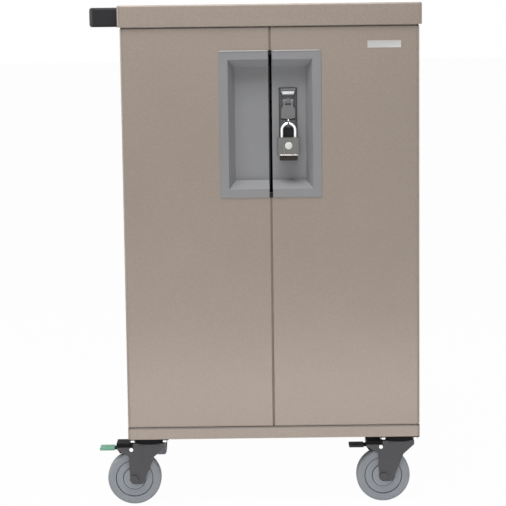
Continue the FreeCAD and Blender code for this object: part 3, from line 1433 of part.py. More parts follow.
def caster(name, side, end, braked):
    king_x, y = king_place(side, end)
    x = f"{king_x} - trail"
    pin_x = f"{x} - pedal_pin_ahead"
    pin_z = "wheel_radius + pedal_pin_height"

    def settle(part, thing):
        if end > 0:
            thing = group(f"{name}_{part}_turned", [thing])
            quarter_turn = FreeCAD.Rotation(FreeCAD.Vector(0, 0, 1), 90)
            thing.Placement = FreeCAD.Placement(FreeCAD.Vector(), quarter_turn)
            place(thing, f"{king_x} + ({y})", f"{y} - ({king_x})", "0")
        node(f"{name}_{part}", thing)

    legs = padded(name + "_legs", "XZ_Plane", FORK, "2 * (fork_outside)", midplane=True)
    place(legs, x, y, "0")
    gap = block(
        name + "_fork_gap",
        (f"{x} - fork_brow - metal", f"{x} + fork_tail + metal"),
        about(y, "fork_inside"),
        ("0", "crown_low"),
    )
    fork = cut(name + "_fork_legs", legs, gap)
    fork = rounded(
        name + "_fork_round", fork, "fork_foot_round",
        lambda low, high: runs(low, high, "y") and at(low, high, "z", "wheel_radius - fork_foot"),
    )
    crown = rod(name + "_crown", "z", (king_x, y, "crown_low"), "crown_radius", "crown_thick")
    holes = [
        rod(name + "_king_bore", "z", (king_x, y, "crown_low - metal"), "king_radius + running_gap",
            "crown_thick + 2 * metal"),
        rod(name + "_axle_bore", "y", (x, f"{y} - fork_outside - metal", "wheel_radius"),
            "axle_radius + fixed_gap", "2 * (fork_outside + metal)"),
    ]
    if braked:
        holes.append(rod(name + "_pin_bore", "y", (pin_x, f"{y} - fork_outside - metal", pin_z),
                         "pedal_pin + fixed_gap", "2 * (fork_outside + metal)"))
    settle("fork", cut(name + "_fork_bored", fuse(name + "_fork_body", fork, crown), *holes))

    def along(part, radius, half, z="wheel_radius", at_x=x):
        return rod(f"{name}_{part}", "y", (at_x, f"{y} - ({half})", z), radius, f"2 * ({half})")

    settle("axle", fuse(
        name + "_axle_bolt",
        along("axle_shank", "axle_radius", "fork_outside + axle_head_height"),
        hexagon(name + "_axle_head", "y", (x, f"{y} - fork_outside - axle_head_height", "wheel_radius"),
                "axle_head", "axle_head_height"),
        hexagon(name + "_axle_nut", "y", (x, f"{y} + fork_outside", "wheel_radius"), "axle_head",
                "axle_head_height"),
    ))
    if braked:
        half = "fork_outside + pedal_pin_head_height"
        heads = cut(name + "_pin_heads", along("pin_head_bar", "pedal_pin_head", half, pin_z, pin_x),
                    along("pin_head_gap", "pedal_pin_head", "fork_outside", pin_z, pin_x))
        settle(
            "pedal_pin", fuse(name + "_pin_body", along("pin_shank", "pedal_pin", half, pin_z, pin_x), heads)
        )

    web = "wheel_width / 2 - core_ring_setback"

    def groove(part, inner, outer):
        band = cut(f"{name}_{part}_band", along(part + "_outer", outer, "wheel_width"),
                   along(part + "_inner", inner, "2 * wheel_width"))
        return cut(f"{name}_{part}", band, along(part + "_floor", outer, f"{web} - core_groove_depth"))

    disc = cut(
        name + "_core_web", along("core_disc", "core_radius", web),
        groove("edge_groove", "core_radius - core_groove", "core_radius"),
        groove("hub_groove", "core_hub", "core_hub + core_groove"),
    )
    core = fuse(name + "_core_body", disc, along("core_hub", "core_hub", "hub_half"))
    core_bore = along("core_bore", "axle_radius + running_gap", "wheel_width")
    settle("wheel_core", cut(name + "_core_bored", core, core_bore))
    tread = along("tread", "wheel_radius", "wheel_width / 2")
    tread = rounded(name + "_tread_round", tread, "tyre_shoulder", lambda low, high: not runs(low, high, "y"))
    settle("tyre", cut(name + "_tyre_ring", tread, along("tyre_seat", "core_radius", "wheel_width")))

    if braked:
        arm = padded(name + "_pedal_arm", "XZ_Plane", PEDAL, "pedal_width", midplane=True)
        place(arm, x, y, "0")
        pedal_bore = along("pedal_bore", "pedal_pin + running_gap", "pedal_width", pin_z, pin_x)
        settle("pedal", cut(name + "_pedal_bored", arm, pedal_bore))
        middle = "wheel_radius + pedal_rise + pedal_thick / 2"
        cap = block(
            name + "_cap", (f"{x} - cap_end", f"{x} - cap_start"), about(y, "cap_width / 2"),
            about(middle, "cap_height / 2"),
        )
        cap = rounded(name + "_cap_round", cap, "cap_round",
                      lambda low, high: not at(low, high, "x", f"{x} - cap_start"))
        socket = block(
            name + "_cap_socket", (f"{x} - pedal_end", f"{x} - cap_start"),
            about(y, "pedal_width / 2 + fixed_gap"), about(middle, "pedal_thick / 2 + fixed_gap"),
        )
        settle("pedal_cap", cut(name + "_cap_hollow", cap, socket))


for name, side, end in CASTERS:
    caster(name, side, end, braked=end < 0)

# Check every object, then write one file per sub-part
doc.recompute()
faults = [thing.Name for thing in doc.Objects if {"Invalid", "Error"} & set(thing.State)]
faults += [thing.Label for thing in nodes if thing.Shape.isNull() or not thing.Shape.isValid()]
if faults:
    raise RuntimeError("failed: " + ", ".join(faults))
os.makedirs("parts", exist_ok=True)
for thing in nodes:
    thing.Shape.exportStep(f"parts/{thing.Label}.step")
print(len(nodes), "sub-parts,", sum(len(thing.Shape.Solids) for thing in nodes), "solids")
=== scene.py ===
import math

import bmesh
import bpy
from mathutils import Matrix, Vector


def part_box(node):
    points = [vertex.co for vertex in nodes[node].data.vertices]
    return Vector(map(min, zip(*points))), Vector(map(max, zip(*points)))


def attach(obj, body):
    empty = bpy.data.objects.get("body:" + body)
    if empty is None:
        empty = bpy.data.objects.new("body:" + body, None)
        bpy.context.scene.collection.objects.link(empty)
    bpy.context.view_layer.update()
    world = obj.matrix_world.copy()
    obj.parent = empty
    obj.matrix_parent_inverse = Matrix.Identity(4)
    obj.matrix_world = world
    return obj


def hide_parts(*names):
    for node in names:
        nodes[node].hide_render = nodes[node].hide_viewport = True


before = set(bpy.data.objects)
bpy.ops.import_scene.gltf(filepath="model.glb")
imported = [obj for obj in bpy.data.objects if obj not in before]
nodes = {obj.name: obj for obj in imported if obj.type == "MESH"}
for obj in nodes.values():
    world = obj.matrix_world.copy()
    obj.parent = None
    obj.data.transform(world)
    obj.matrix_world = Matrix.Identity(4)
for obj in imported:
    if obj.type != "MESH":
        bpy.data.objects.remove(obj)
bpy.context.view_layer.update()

# The view: a camera with a long lens stands in front of the doors, a little left of the seam
# and just below the lid's height. It is tipped down towards the casters and turned a hair
# about its own line of sight.
eye_place = Vector((-0.0095, -4.4107, 1.1416))
eye_pitch = math.radians(90.0 - 7.556)
eye_roll = math.radians(-0.718)
camera_data = bpy.data.cameras.new("studio_camera")
camera_data.sensor_width = 36.0
camera_data.lens = 128.65
camera_data.clip_end = 60.0
camera = bpy.data.objects.new("studio_camera", camera_data)
eye_turn = Matrix.Rotation(eye_pitch, 4, "X") @ Matrix.Rotation(eye_roll, 4, "Z")
camera.matrix_world = Matrix.Translation(eye_place) @ eye_turn
bpy.context.scene.collection.objects.link(camera)
bpy.context.scene.camera = camera
bpy.context.scene.view_settings.view_transform = "Standard"


# The studio: a seamless paper floor that looks white to the eye and in shiny surfaces but
# still takes a faint shadow, a white world behind it, and five soft lamps hung round the
# cart, one of them low in front of the casters.
def seen_rays(tree):
    """Tells rays from the eye, a shiny surface or a clear one from all others."""
    path = tree.nodes.new("ShaderNodeLightPath")
    shiny = tree.nodes.new("ShaderNodeMath")
    shiny.operation = "MAXIMUM"
    seen = tree.nodes.new("ShaderNodeMath")
    seen.operation = "MAXIMUM"
    tree.links.new(path.outputs["Is Glossy Ray"], shiny.inputs[0])
    tree.links.new(path.outputs["Is Transmission Ray"], shiny.inputs[1])
    tree.links.new(path.outputs["Is Camera Ray"], seen.inputs[0])
    tree.links.new(shiny.outputs[0], seen.inputs[1])
    return seen.outputs[0]


floor_span = 40.0
white = (1.0, 1.0, 1.0, 1.0)
paper_tint = (0.82, 0.82, 0.82, 1.0)
paper_glow_share = 0.98
floor_bm = bmesh.new()
bmesh.ops.create_grid(floor_bm, x_segments=1, y_segments=1, size=floor_span)
floor_mesh = bpy.data.meshes.new("studio_floor")
floor_bm.to_mesh(floor_mesh)
floor_bm.free()
studio_floor = bpy.data.objects.new("studio_floor", floor_mesh)
bpy.context.scene.collection.objects.link(studio_floor)
floor_paper = bpy.data.materials.new("studio_paper")
floor_paper.use_nodes = True
tree = floor_paper.node_tree
tree.nodes.clear()
paper_out = tree.nodes.new("ShaderNodeOutputMaterial")
paper_mix = tree.nodes.new("ShaderNodeMixShader")
paper_seen = tree.nodes.new("ShaderNodeMixShader")
paper_seen.inputs["Fac"].default_value = paper_glow_share
paper_diffuse = tree.nodes.new("ShaderNodeBsdfDiffuse")
paper_diffuse.inputs["Color"].default_value = paper_tint
paper_glow = tree.nodes.new("ShaderNodeEmission")
paper_glow.inputs["Color"].default_value = white
tree.links.new(paper_diffuse.outputs["BSDF"], paper_seen.inputs[1])
tree.links.new(paper_glow.outputs["Emission"], paper_seen.inputs[2])
tree.links.new(seen_rays(tree), paper_mix.inputs["Fac"])
tree.links.new(paper_diffuse.outputs["BSDF"], paper_mix.inputs[1])
tree.links.new(paper_seen.outputs["Shader"], paper_mix.inputs[2])
tree.links.new(paper_mix.outputs["Shader"], paper_out.inputs["Surface"])
floor_mesh.materials.append(floor_paper)

fill_tint = (1.0, 0.99, 0.98, 1.0)
fill_strength = 0.15
studio_world = bpy.data.worlds.new("studio_world")
studio_world.use_nodes = True
tree = studio_world.node_tree
tree.nodes.clear()
world_out = tree.nodes.new("ShaderNodeOutputWorld")
world_mix = tree.nodes.new("ShaderNodeMixShader")
world_seen = tree.nodes.new("ShaderNodeBackground")
world_seen.inputs["Color"].default_value = white
world_seen.inputs["Strength"].default_value = 1.0
world_fill = tree.nodes.new("ShaderNodeBackground")
world_fill.inputs["Color"].default_value = fill_tint
world_fill.inputs["Strength"].default_value = fill_strength
tree.links.new(seen_rays(tree), world_mix.inputs["Fac"])
tree.links.new(world_fill.outputs["Background"], world_mix.inputs[1])
tree.links.new(world_seen.outputs["Background"], world_mix.inputs[2])
tree.links.new(world_mix.outputs["Shader"], world_out.inputs["Surface"])
bpy.context.scene.world = studio_world


def softbox(name, place, aim, width, height, watts):
    """Hangs a soft lamp at a place and turns it towards another."""
    lamp = bpy.data.lights.new(name, "AREA")
    lamp.shape = "RECTANGLE"
    lamp.size = width
    lamp.size_y = height
    lamp.energy = watts
    lamp_object = bpy.data.objects.new(name, lamp)
    turn = (Vector(aim) - Vector(place)).to_track_quat("-Z", "Y")
    lamp_object.matrix_world = Matrix.Translation(place) @ turn.to_matrix().to_4x4()
    lamp_object.visible_camera = False
    bpy.context.scene.collection.objects.link(lamp_object)


softbox("front_softbox", (-0.6, -3.4, 1.8), (-0.1, -0.3, 0.75), width=1.5, height=1.2, watts=9.0)
softbox("left_softbox", (-3.0, 0.3, 1.0), (-0.2, 0.0, 0.7), width=1.6, height=2.2, watts=24.0)
softbox("right_softbox", (3.0, 0.3, 1.0), (0.3, 0.0, 0.7), width=1.6, height=2.2, watts=16.0)
softbox("low_softbox", (0.05, -1.2, 0.06), (0.05, -0.3, 0.16), width=2.0, height=0.2, watts=3.8)
softbox("top_softbox", (-0.3, -1.25, 3.3), (0.0, -0.4, 0.9), width=2.2, height=1.2, watts=70.0)


# The cabinet's skin: pans, panels, lid and doors folded from sheet steel and powder coated in
# a warm metallic taupe. The coat has a fine flake and a faint orange peel, and it turns paler
# along the folds, partly as rubbed wear and partly as a painted highlight.
def shader_group(name, inputs, outputs):
    """Starts a node group with its sockets, and gives the group and its two ends."""
    group = bpy.data.node_groups.new(name, "ShaderNodeTree")
    for label, kind, value in inputs:
        socket = group.interface.new_socket(label, in_out="INPUT", socket_type=kind)
        socket.default_value = value
    for label, kind in outputs:
        group.interface.new_socket(label, in_out="OUTPUT", socket_type=kind)
    way_in = group.nodes.new("NodeGroupInput")
    way_out = group.nodes.new("NodeGroupOutput")
    return group, way_in, way_out


number = "NodeSocketFloat"
colour = "NodeSocketColor"
vector = "NodeSocketVector"
grey = (0.5, 0.5, 0.5, 1.0)

speckle, way_in, way_out = shader_group(
    "fine_speckle",
    [("Tint", colour, grey), ("Fleck", colour, grey), ("Scale", number, 900.0),
     ("Cloud", number, 0.06), ("Smooth", number, 0.4), ("Rough", number, 0.5)],
    [("Colour", colour), ("Roughness", number), ("Height", number)],
)
where = speckle.nodes.new("ShaderNodeTexCoord")
fleck = speckle.nodes.new("ShaderNodeTexNoise")
fleck.inputs["Detail"].default_value = 2.0
drift = speckle.nodes.new("ShaderNodeTexNoise")
drift.inputs["Scale"].default_value = 3.1
drift.inputs["Detail"].default_value = 4.0
fleck_step = speckle.nodes.new("ShaderNodeMapRange")
fleck_step.inputs["From Min"].default_value = 0.42
fleck_step.inputs["From Max"].default_value = 0.66
tinted = speckle.nodes.new("ShaderNodeMix")
tinted.data_type = "RGBA"
shade_range = speckle.nodes.new("ShaderNodeMapRange")
shade_range.inputs["From Min"].default_value = 0.3
shade_range.inputs["From Max"].default_value = 0.7
shade_low = speckle.nodes.new("ShaderNodeMath")
shade_low.operation = "SUBTRACT"
shade_low.inputs[0].default_value = 1.0
shade_high = speckle.nodes.new("ShaderNodeMath")
shade_high.operation = "ADD"
shade_high.inputs[0].default_value = 1.0
shaded = speckle.nodes.new("ShaderNodeVectorMath")
shaded.operation = "SCALE"
gloss = speckle.nodes.new("ShaderNodeMapRange")
link = speckle.links.new
link(where.outputs["Object"], fleck.inputs["Vector"])
link(where.outputs["Object"], drift.inputs["Vector"])
link(way_in.outputs["Scale"], fleck.inputs["Scale"])
link(fleck.outputs["Fac"], fleck_step.inputs["Value"])
link(fleck_step.outputs["Result"], tinted.inputs["Factor"])
link(way_in.outputs["Tint"], tinted.inputs["A"])
link(way_in.outputs["Fleck"], tinted.inputs["B"])
link(drift.outputs["Fac"], shade_range.inputs["Value"])
link(way_in.outputs["Cloud"], shade_low.inputs[1])
link(way_in.outputs["Cloud"], shade_high.inputs[1])
link(shade_low.outputs[0], shade_range.inputs["To Min"])
link(shade_high.outputs[0], shade_range.inputs["To Max"])
link(tinted.outputs["Result"], shaded.inputs[0])
link(shade_range.outputs["Result"], shaded.inputs["Scale"])
link(shaded.outputs["Vector"], way_out.inputs["Colour"])
link(drift.outputs["Fac"], gloss.inputs["Value"])
link(way_in.outputs["Smooth"], gloss.inputs["To Min"])
link(way_in.outputs["Rough"], gloss.inputs["To Max"])
link(gloss.outputs["Result"], way_out.inputs["Roughness"])
link(fleck.outputs["Fac"], way_out.inputs["Height"])

# Edge tint: a second tint along rounded edges, patchy like rubbed wear; where it is paler it is also a
# painted highlight along edges that catch the light.
edge_wear_and_highlight, way_in, way_out = shader_group(
    "edge_wear_and_highlight",
    [("Colour", colour, grey), ("Worn", colour, grey), ("Width", number, 0.0015),
     ("Amount", number, 0.5)],
    [("Colour", colour)],
)
round_edge = edge_wear_and_highlight.nodes.new("ShaderNodeBevel")
round_edge.samples = 4
true_face = edge_wear_and_highlight.nodes.new("ShaderNodeNewGeometry")
facing = edge_wear_and_highlight.nodes.new("ShaderNodeVectorMath")
facing.operation = "DOT_PRODUCT"
edge_step = edge_wear_and_highlight.nodes.new("ShaderNodeMapRange")
edge_step.inputs["From Min"].default_value = 0.985
edge_step.inputs["From Max"].default_value = 0.80
edge_where = edge_wear_and_highlight.nodes.new("ShaderNodeTexCoord")
edge_patch = edge_wear_and_highlight.nodes.new("ShaderNodeTexNoise")
edge_patch.inputs["Scale"].default_value = 26.0
edge_patch.inputs["Detail"].default_value = 5.0
edge_gate = edge_wear_and_highlight.nodes.new("ShaderNodeMapRange")
edge_gate.inputs["From Min"].default_value = 0.35
edge_gate.inputs["From Max"].default_value = 0.65
edge_both = edge_wear_and_highlight.nodes.new("ShaderNodeMath")
edge_both.operation = "MULTIPLY"
edge_amount = edge_wear_and_highlight.nodes.new("ShaderNodeMath")
edge_amount.operation = "MULTIPLY"
edge_mix = edge_wear_and_highlight.nodes.new("ShaderNodeMix")
edge_mix.data_type = "RGBA"
link = edge_wear_and_highlight.links.new
link(way_in.outputs["Width"], round_edge.inputs["Radius"])
link(round_edge.outputs["Normal"], facing.inputs[0])
link(true_face.outputs["Normal"], facing.inputs[1])
link(facing.outputs["Value"], edge_step.inputs["Value"])
link(edge_where.outputs["Object"], edge_patch.inputs["Vector"])
link(edge_patch.outputs["Fac"], edge_gate.inputs["Value"])
link(edge_step.outputs["Result"], edge_both.inputs[0])
link(edge_gate.outputs["Result"], edge_both.inputs[1])
link(edge_both.outputs[0], edge_amount.inputs[0])
link(way_in.outputs["Amount"], edge_amount.inputs[1])
link(edge_amount.outputs[0], edge_mix.inputs["Factor"])
link(way_in.outputs["Colour"], edge_mix.inputs["A"])
link(way_in.outputs["Worn"], edge_mix.inputs["B"])
link(edge_mix.outputs["Result"], way_out.inputs["Colour"])

coat_roughness = 0.25
grain_depth = 0.0004


def coated(name, tint, fleck, edge_tint, scale, cloud, gloss, bump, metallic=0.0, coat=0.0, edge_share=0.4,
           width=0.0015, sheen=0.5):
    """Makes a finish with a speckle, edges partly worn and partly painted highlight, and a fine relief."""
    material = bpy.data.materials.new(name)
    material.use_nodes = True
    tree = material.node_tree
    shader = tree.nodes["Principled BSDF"]
    shader.inputs["Metallic"].default_value = metallic
    shader.inputs["Coat Weight"].default_value = coat
    shader.inputs["Specular IOR Level"].default_value = sheen
    shader.inputs["Coat Roughness"].default_value = coat_roughness
    grain = tree.nodes.new("ShaderNodeGroup")
    grain.node_tree = speckle
    grain.inputs["Tint"].default_value = (*tint, 1.0)
    grain.inputs["Fleck"].default_value = (*fleck, 1.0)
    grain.inputs["Scale"].default_value = scale
    grain.inputs["Cloud"].default_value = cloud
    grain.inputs["Smooth"].default_value = gloss[0]
    grain.inputs["Rough"].default_value = gloss[1]
    edge = tree.nodes.new("ShaderNodeGroup")
    edge.node_tree = edge_wear_and_highlight
    edge.inputs["Worn"].default_value = (*edge_tint, 1.0)
    edge.inputs["Width"].default_value = width
    edge.inputs["Amount"].default_value = edge_share
    relief = tree.nodes.new("ShaderNodeBump")
    relief.inputs["Strength"].default_value = bump
    relief.inputs["Distance"].default_value = grain_depth
    tree.links.new(grain.outputs["Colour"], edge.inputs["Colour"])
    tree.links.new(edge.outputs["Colour"], shader.inputs["Base Color"])
    tree.links.new(grain.outputs["Roughness"], shader.inputs["Roughness"])
    tree.links.new(grain.outputs["Height"], relief.inputs["Height"])
    tree.links.new(relief.outputs["Normal"], shader.inputs["Normal"])
    return material


def wear_finish(material, *names):
    """Gives a finish to the named nodes."""
    for name in names:
        nodes[name].data.materials.clear()
        nodes[name].data.materials.append(material)


taupe_coat = coated(
    "taupe_coat", tint=(0.310, 0.255, 0.215), fleck=(0.382, 0.320, 0.273), edge_tint=(0.45, 0.39, 0.345),
    scale=760.0, cloud=0.03, gloss=(0.34, 0.42), bump=0.10, metallic=0.22, coat=0.1, edge_share=0.35)
wear_finish(taupe_coat, "base_pan", "left_side_panel", "right_side_panel", "top_lid", "left_door",
            "right_door", "rear_door")

# Inside: plain sheet steel in a greyer, flatter powder coat for the floor, shelf and partition,
# and wire dividers dipped in dark vinyl; the seam strip takes the same black as painted shade, so the
# split between the doors reads dark.
inner_coat = coated(
    "inner_coat", tint=(0.27, 0.25, 0.225), fleck=(0.30, 0.28, 0.25), edge_tint=(0.40, 0.38, 0.35),
    scale=800.0, cloud=0.05, gloss=(0.52, 0.62), bump=0.15, metallic=0.1)
wear_finish(inner_coat, "floor_panel", "header_rails", "mid_shelf", "shelf_brackets",
            "partition_panels")
dark_vinyl_and_shade = coated(
    "dark_vinyl_and_shade", tint=(0.035, 0.037, 0.04), fleck=(0.05, 0.052, 0.056), edge_tint=(0.09, 0.09, 0.09),
    scale=500.0, cloud=0.08, gloss=(0.55, 0.68), bump=0.3, edge_share=0.3, sheen=0.2)
wear_finish(dark_vinyl_and_shade, "slot_dividers", "seam_strip")

# Moulded plastics: the pocket halves, handle housing, push handle, sockets, inlet, pedal caps
# and padlock guard come out of their moulds with a fine spark grain, finest on the pocket and
# the housing.
pocket_plastic = coated(
    "pocket_plastic", tint=(0.31, 0.312, 0.321), fleck=(0.33, 0.332, 0.341), edge_tint=(0.44, 0.442, 0.45),
    scale=1300.0, cloud=0.03, gloss=(0.45, 0.55), bump=0.18, edge_share=0.25, sheen=0.15)
wear_finish(pocket_plastic, "left_pocket", "right_pocket")
housing_plastic = coated(
    "housing_plastic", tint=(0.10, 0.102, 0.106), fleck=(0.115, 0.117, 0.121), edge_tint=(0.22, 0.222, 0.226),
    scale=1300.0, cloud=0.03, gloss=(0.42, 0.5), bump=0.15, edge_share=0.35, sheen=0.3)
wear_finish(housing_plastic, "handle_housing", "rod_guides")
black_plastic = coated(
    "black_plastic", tint=(0.016, 0.016, 0.018), fleck=(0.024, 0.024, 0.027), edge_tint=(0.06, 0.06, 0.065),
    scale=900.0, cloud=0.08, gloss=(0.42, 0.55), bump=0.22, edge_share=0.35, sheen=0.25)
wear_finish(black_plastic, "strip_sockets", "power_inlet", "power_switch", "push_handle",
            "front_right_pedal_cap")
green_plastic = coated(
    "green_plastic", tint=(0.14, 0.40, 0.26), fleck=(0.16, 0.44, 0.29), edge_tint=(0.26, 0.52, 0.38),
    scale=900.0, cloud=0.05, gloss=(0.38, 0.48), bump=0.15)
wear_finish(green_plastic, "front_left_pedal_cap")
guard_plastic = coated(
    "guard_plastic", tint=(0.020, 0.016, 0.013), fleck=(0.028, 0.022, 0.018), edge_tint=(0.07, 0.06, 0.05),
    scale=1100.0, cloud=0.06, gloss=(0.35, 0.45), bump=0.12, edge_share=0.35, sheen=0.3)
wear_finish(guard_plastic, "padlock_guard")

# Painted hardware: a cast handle in grey lacquer, caster forks pressed from steel in a dark grey coat,
# and caster plates, pedals and door pins in matt black, which on the door pins is painted shade
# that hides them in the gaps. The coats turn paler at the corners, partly worn and partly painted
# highlight.
corners = ("front_left", "front_right", "rear_left", "rear_right")
handle_coat = coated(
    "handle_coat", tint=(0.175, 0.177, 0.175), fleck=(0.20, 0.202, 0.20), edge_tint=(0.40, 0.41, 0.41),
    scale=1200.0, cloud=0.03, gloss=(0.32, 0.4), bump=0.08, metallic=0.25, edge_share=0.5, width=0.001)
wear_finish(handle_coat, "handle_hub", "handle_lever")
fork_coat_and_groove_shade = coated(
    "fork_coat_and_groove_shade", tint=(0.078, 0.076, 0.082), fleck=(0.094, 0.091, 0.097), edge_tint=(0.24, 0.235, 0.24),
    scale=900.0, cloud=0.06, gloss=(0.36, 0.46), bump=0.12, metallic=0.25, edge_share=0.45, sheen=0.25)
for corner in corners:
    wear_finish(fork_coat_and_groove_shade, corner + "_fork", corner + "_axle")
matt_black_and_shade = coated(
    "matt_black_and_shade", tint=(0.012, 0.012, 0.013), fleck=(0.018, 0.018, 0.019), edge_tint=(0.08, 0.08, 0.08),
    scale=900.0, cloud=0.08, gloss=(0.5, 0.6), bump=0.15, edge_share=0.5, sheen=0.04)
wear_finish(matt_black_and_shade, "caster_plates", "front_left_pedal", "front_right_pedal", "left_door_pivots",
            "right_door_pivots", "rear_door_pivots")

# Badge finish: aluminium sheet with a fine satin blast under a clear lacquer, nearly white in
# this light. The badge plate wears it, and so does the dressed face that stands for it.
satin_plate = coated(
    "satin_plate", tint=(0.56, 0.56, 0.55), fleck=(0.61, 0.61, 0.60), edge_tint=(0.74, 0.74, 0.73),
    scale=1100.0, cloud=0.03, gloss=(0.30, 0.40), bump=0.05, metallic=0.25, edge_share=0.3, width=0.0006)
wear_finish(satin_plate, "badge_plate")

# Wheels: a pale grey core moulded in hard plastic, with a softer grey rubber tread bonded
# round it that scuffs darker at its edges.
core_plastic = coated(
    "core_plastic", tint=(0.30, 0.325, 0.36), fleck=(0.325, 0.35, 0.385), edge_tint=(0.42, 0.44, 0.47),
    scale=900.0, cloud=0.04, gloss=(0.42, 0.52), bump=0.12, edge_share=0.3)
tread_rubber = coated(
    "tread_rubber", tint=(0.30, 0.32, 0.35), fleck=(0.325, 0.345, 0.375), edge_tint=(0.22, 0.225, 0.235),
    scale=420.0, cloud=0.09, gloss=(0.6, 0.75), bump=0.35, edge_share=0.5, width=0.003)
for corner in corners:
    wear_finish(core_plastic, corner + "_wheel_core")
    wear_finish(tread_rubber, corner + "_tyre")

# Bare metals: zinc plated rods, bolts and pins, extruded aluminium power strips, a chromed
# shackle and a laminated steel padlock. Drawn streaks run along the strips, the shackle and
# the lock, and a cloudy bloom lies over all of them.
streaks, way_in, way_out = shader_group(
    "drawn_streaks",
    [("Tint", colour, grey), ("Bright", colour, grey), ("Stretch", vector, (900.0, 900.0, 20.0)),
     ("Smooth", number, 0.2), ("Rough", number, 0.35)],
    [("Colour", colour), ("Roughness", number), ("Height", number)],
)
where = streaks.nodes.new("ShaderNodeTexCoord")
stretched = streaks.nodes.new("ShaderNodeVectorMath")
stretched.operation = "MULTIPLY"
drawn = streaks.nodes.new("ShaderNodeTexNoise")
drawn.inputs["Scale"].default_value = 1.0
drawn.inputs["Detail"].default_value = 3.0
bloom = streaks.nodes.new("ShaderNodeTexVoronoi")
bloom.inputs["Scale"].default_value = 260.0
bloom_share = 0.35
blend = streaks.nodes.new("ShaderNodeMath")
blend.operation = "MULTIPLY_ADD"
blend.inputs[1].default_value = bloom_share
metal_mix = streaks.nodes.new("ShaderNodeMix")
metal_mix.data_type = "RGBA"
metal_gloss = streaks.nodes.new("ShaderNodeMapRange")
metal_gloss.inputs["From Min"].default_value = 0.3
metal_gloss.inputs["From Max"].default_value = 0.7
link = streaks.links.new
link(where.outputs["Object"], stretched.inputs[0])
link(way_in.outputs["Stretch"], stretched.inputs[1])
link(stretched.outputs["Vector"], drawn.inputs["Vector"])
link(where.outputs["Object"], bloom.inputs["Vector"])
link(bloom.outputs["Distance"], blend.inputs[0])
link(drawn.outputs["Fac"], blend.inputs[2])
link(blend.outputs[0], metal_mix.inputs["Factor"])
link(way_in.outputs["Tint"], metal_mix.inputs["A"])
link(way_in.outputs["Bright"], metal_mix.inputs["B"])
link(metal_mix.outputs["Result"], way_out.inputs["Colour"])
link(drawn.outputs["Fac"], metal_gloss.inputs["Value"])
link(way_in.outputs["Smooth"], metal_gloss.inputs["To Min"])
link(way_in.outputs["Rough"], metal_gloss.inputs["To Max"])
link(metal_gloss.outputs["Result"], way_out.inputs["Roughness"])
link(drawn.outputs["Fac"], way_out.inputs["Height"])

streak_depth = 0.0002


def bare_metal(name, tint, bright, stretch, gloss, bump):
    """Makes a bare metal with drawn streaks."""
    material = bpy.data.materials.new(name)
    material.use_nodes = True
    tree = material.node_tree
    shader = tree.nodes["Principled BSDF"]
    shader.inputs["Metallic"].default_value = 1.0
    lines = tree.nodes.new("ShaderNodeGroup")
    lines.node_tree = streaks
    lines.inputs["Tint"].default_value = (*tint, 1.0)
    lines.inputs["Bright"].default_value = (*bright, 1.0)
    lines.inputs["Stretch"].default_value = stretch
    lines.inputs["Smooth"].default_value = gloss[0]
    lines.inputs["Rough"].default_value = gloss[1]
    relief = tree.nodes.new("ShaderNodeBump")
    relief.inputs["Strength"].default_value = bump
    relief.inputs["Distance"].default_value = streak_depth
    tree.links.new(lines.outputs["Colour"], shader.inputs["Base Color"])
    tree.links.new(lines.outputs["Roughness"], shader.inputs["Roughness"])
    tree.links.new(lines.outputs["Height"], relief.inputs["Height"])
    tree.links.new(relief.outputs["Normal"], shader.inputs["Normal"])
    return material


zinc_and_glint_metal = bare_metal("zinc_and_glint_metal", tint=(0.58, 0.58, 0.57), bright=(0.74, 0.74, 0.72),
                        stretch=(500.0, 500.0, 500.0), gloss=(0.28, 0.42), bump=0.1)
wear_finish(zinc_and_glint_metal, "push_handle_bolts", "caster_bolts", "latch_cam", "upper_latch_rod",
            "lower_latch_rod", "rear_lock_cam", "front_left_pedal_pin", "front_right_pedal_pin")
strip_metal = bare_metal("strip_metal", tint=(0.66, 0.67, 0.68), bright=(0.78, 0.78, 0.79),
                         stretch=(12.0, 1400.0, 1400.0), gloss=(0.3, 0.42), bump=0.12)
wear_finish(strip_metal, "power_strips")
bright_chrome = bare_metal("bright_chrome", tint=(0.92, 0.92, 0.92), bright=(0.98, 0.98, 0.98),
                           stretch=(300.0, 300.0, 60.0), gloss=(0.30, 0.42), bump=0.03)
wear_finish(bright_chrome, "padlock_shackle", "rear_lock_barrel")
padlock_steel = bare_metal("padlock_steel", tint=(0.12, 0.118, 0.113), bright=(0.21, 0.207, 0.2),
                           stretch=(1500.0, 1500.0, 30.0), gloss=(0.26, 0.38), bump=0.12)
wear_finish(padlock_steel, "padlock_body")


# Divider edging: a soft black plastic bead, extruded and pushed over each divider's front
# edge, round its corner and along its top, so that devices slide in without scuffing.
def piece(name, bm, body, material, sharp=35.0):
    """Makes a mesh piece that moves with a body and takes a finish."""
    bmesh.ops.remove_doubles(bm, verts=bm.verts, dist=1e-6)
    bmesh.ops.recalc_face_normals(bm, faces=bm.faces)
    mesh = bpy.data.meshes.new(name)
    bm.to_mesh(mesh)
    bm.free()
    for face in mesh.polygons:
        face.use_smooth = True
    mesh.set_sharp_from_angle(angle=math.radians(sharp))
    mesh.materials.append(material)
    made = bpy.data.objects.new(name, mesh)
    bpy.context.scene.collection.objects.link(made)
    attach(made, body)
    return made


def only_verts(geom):
    """Picks the vertices out of what an operator gives back."""
    return [part for part in geom if isinstance(part, bmesh.types.BMVert)]


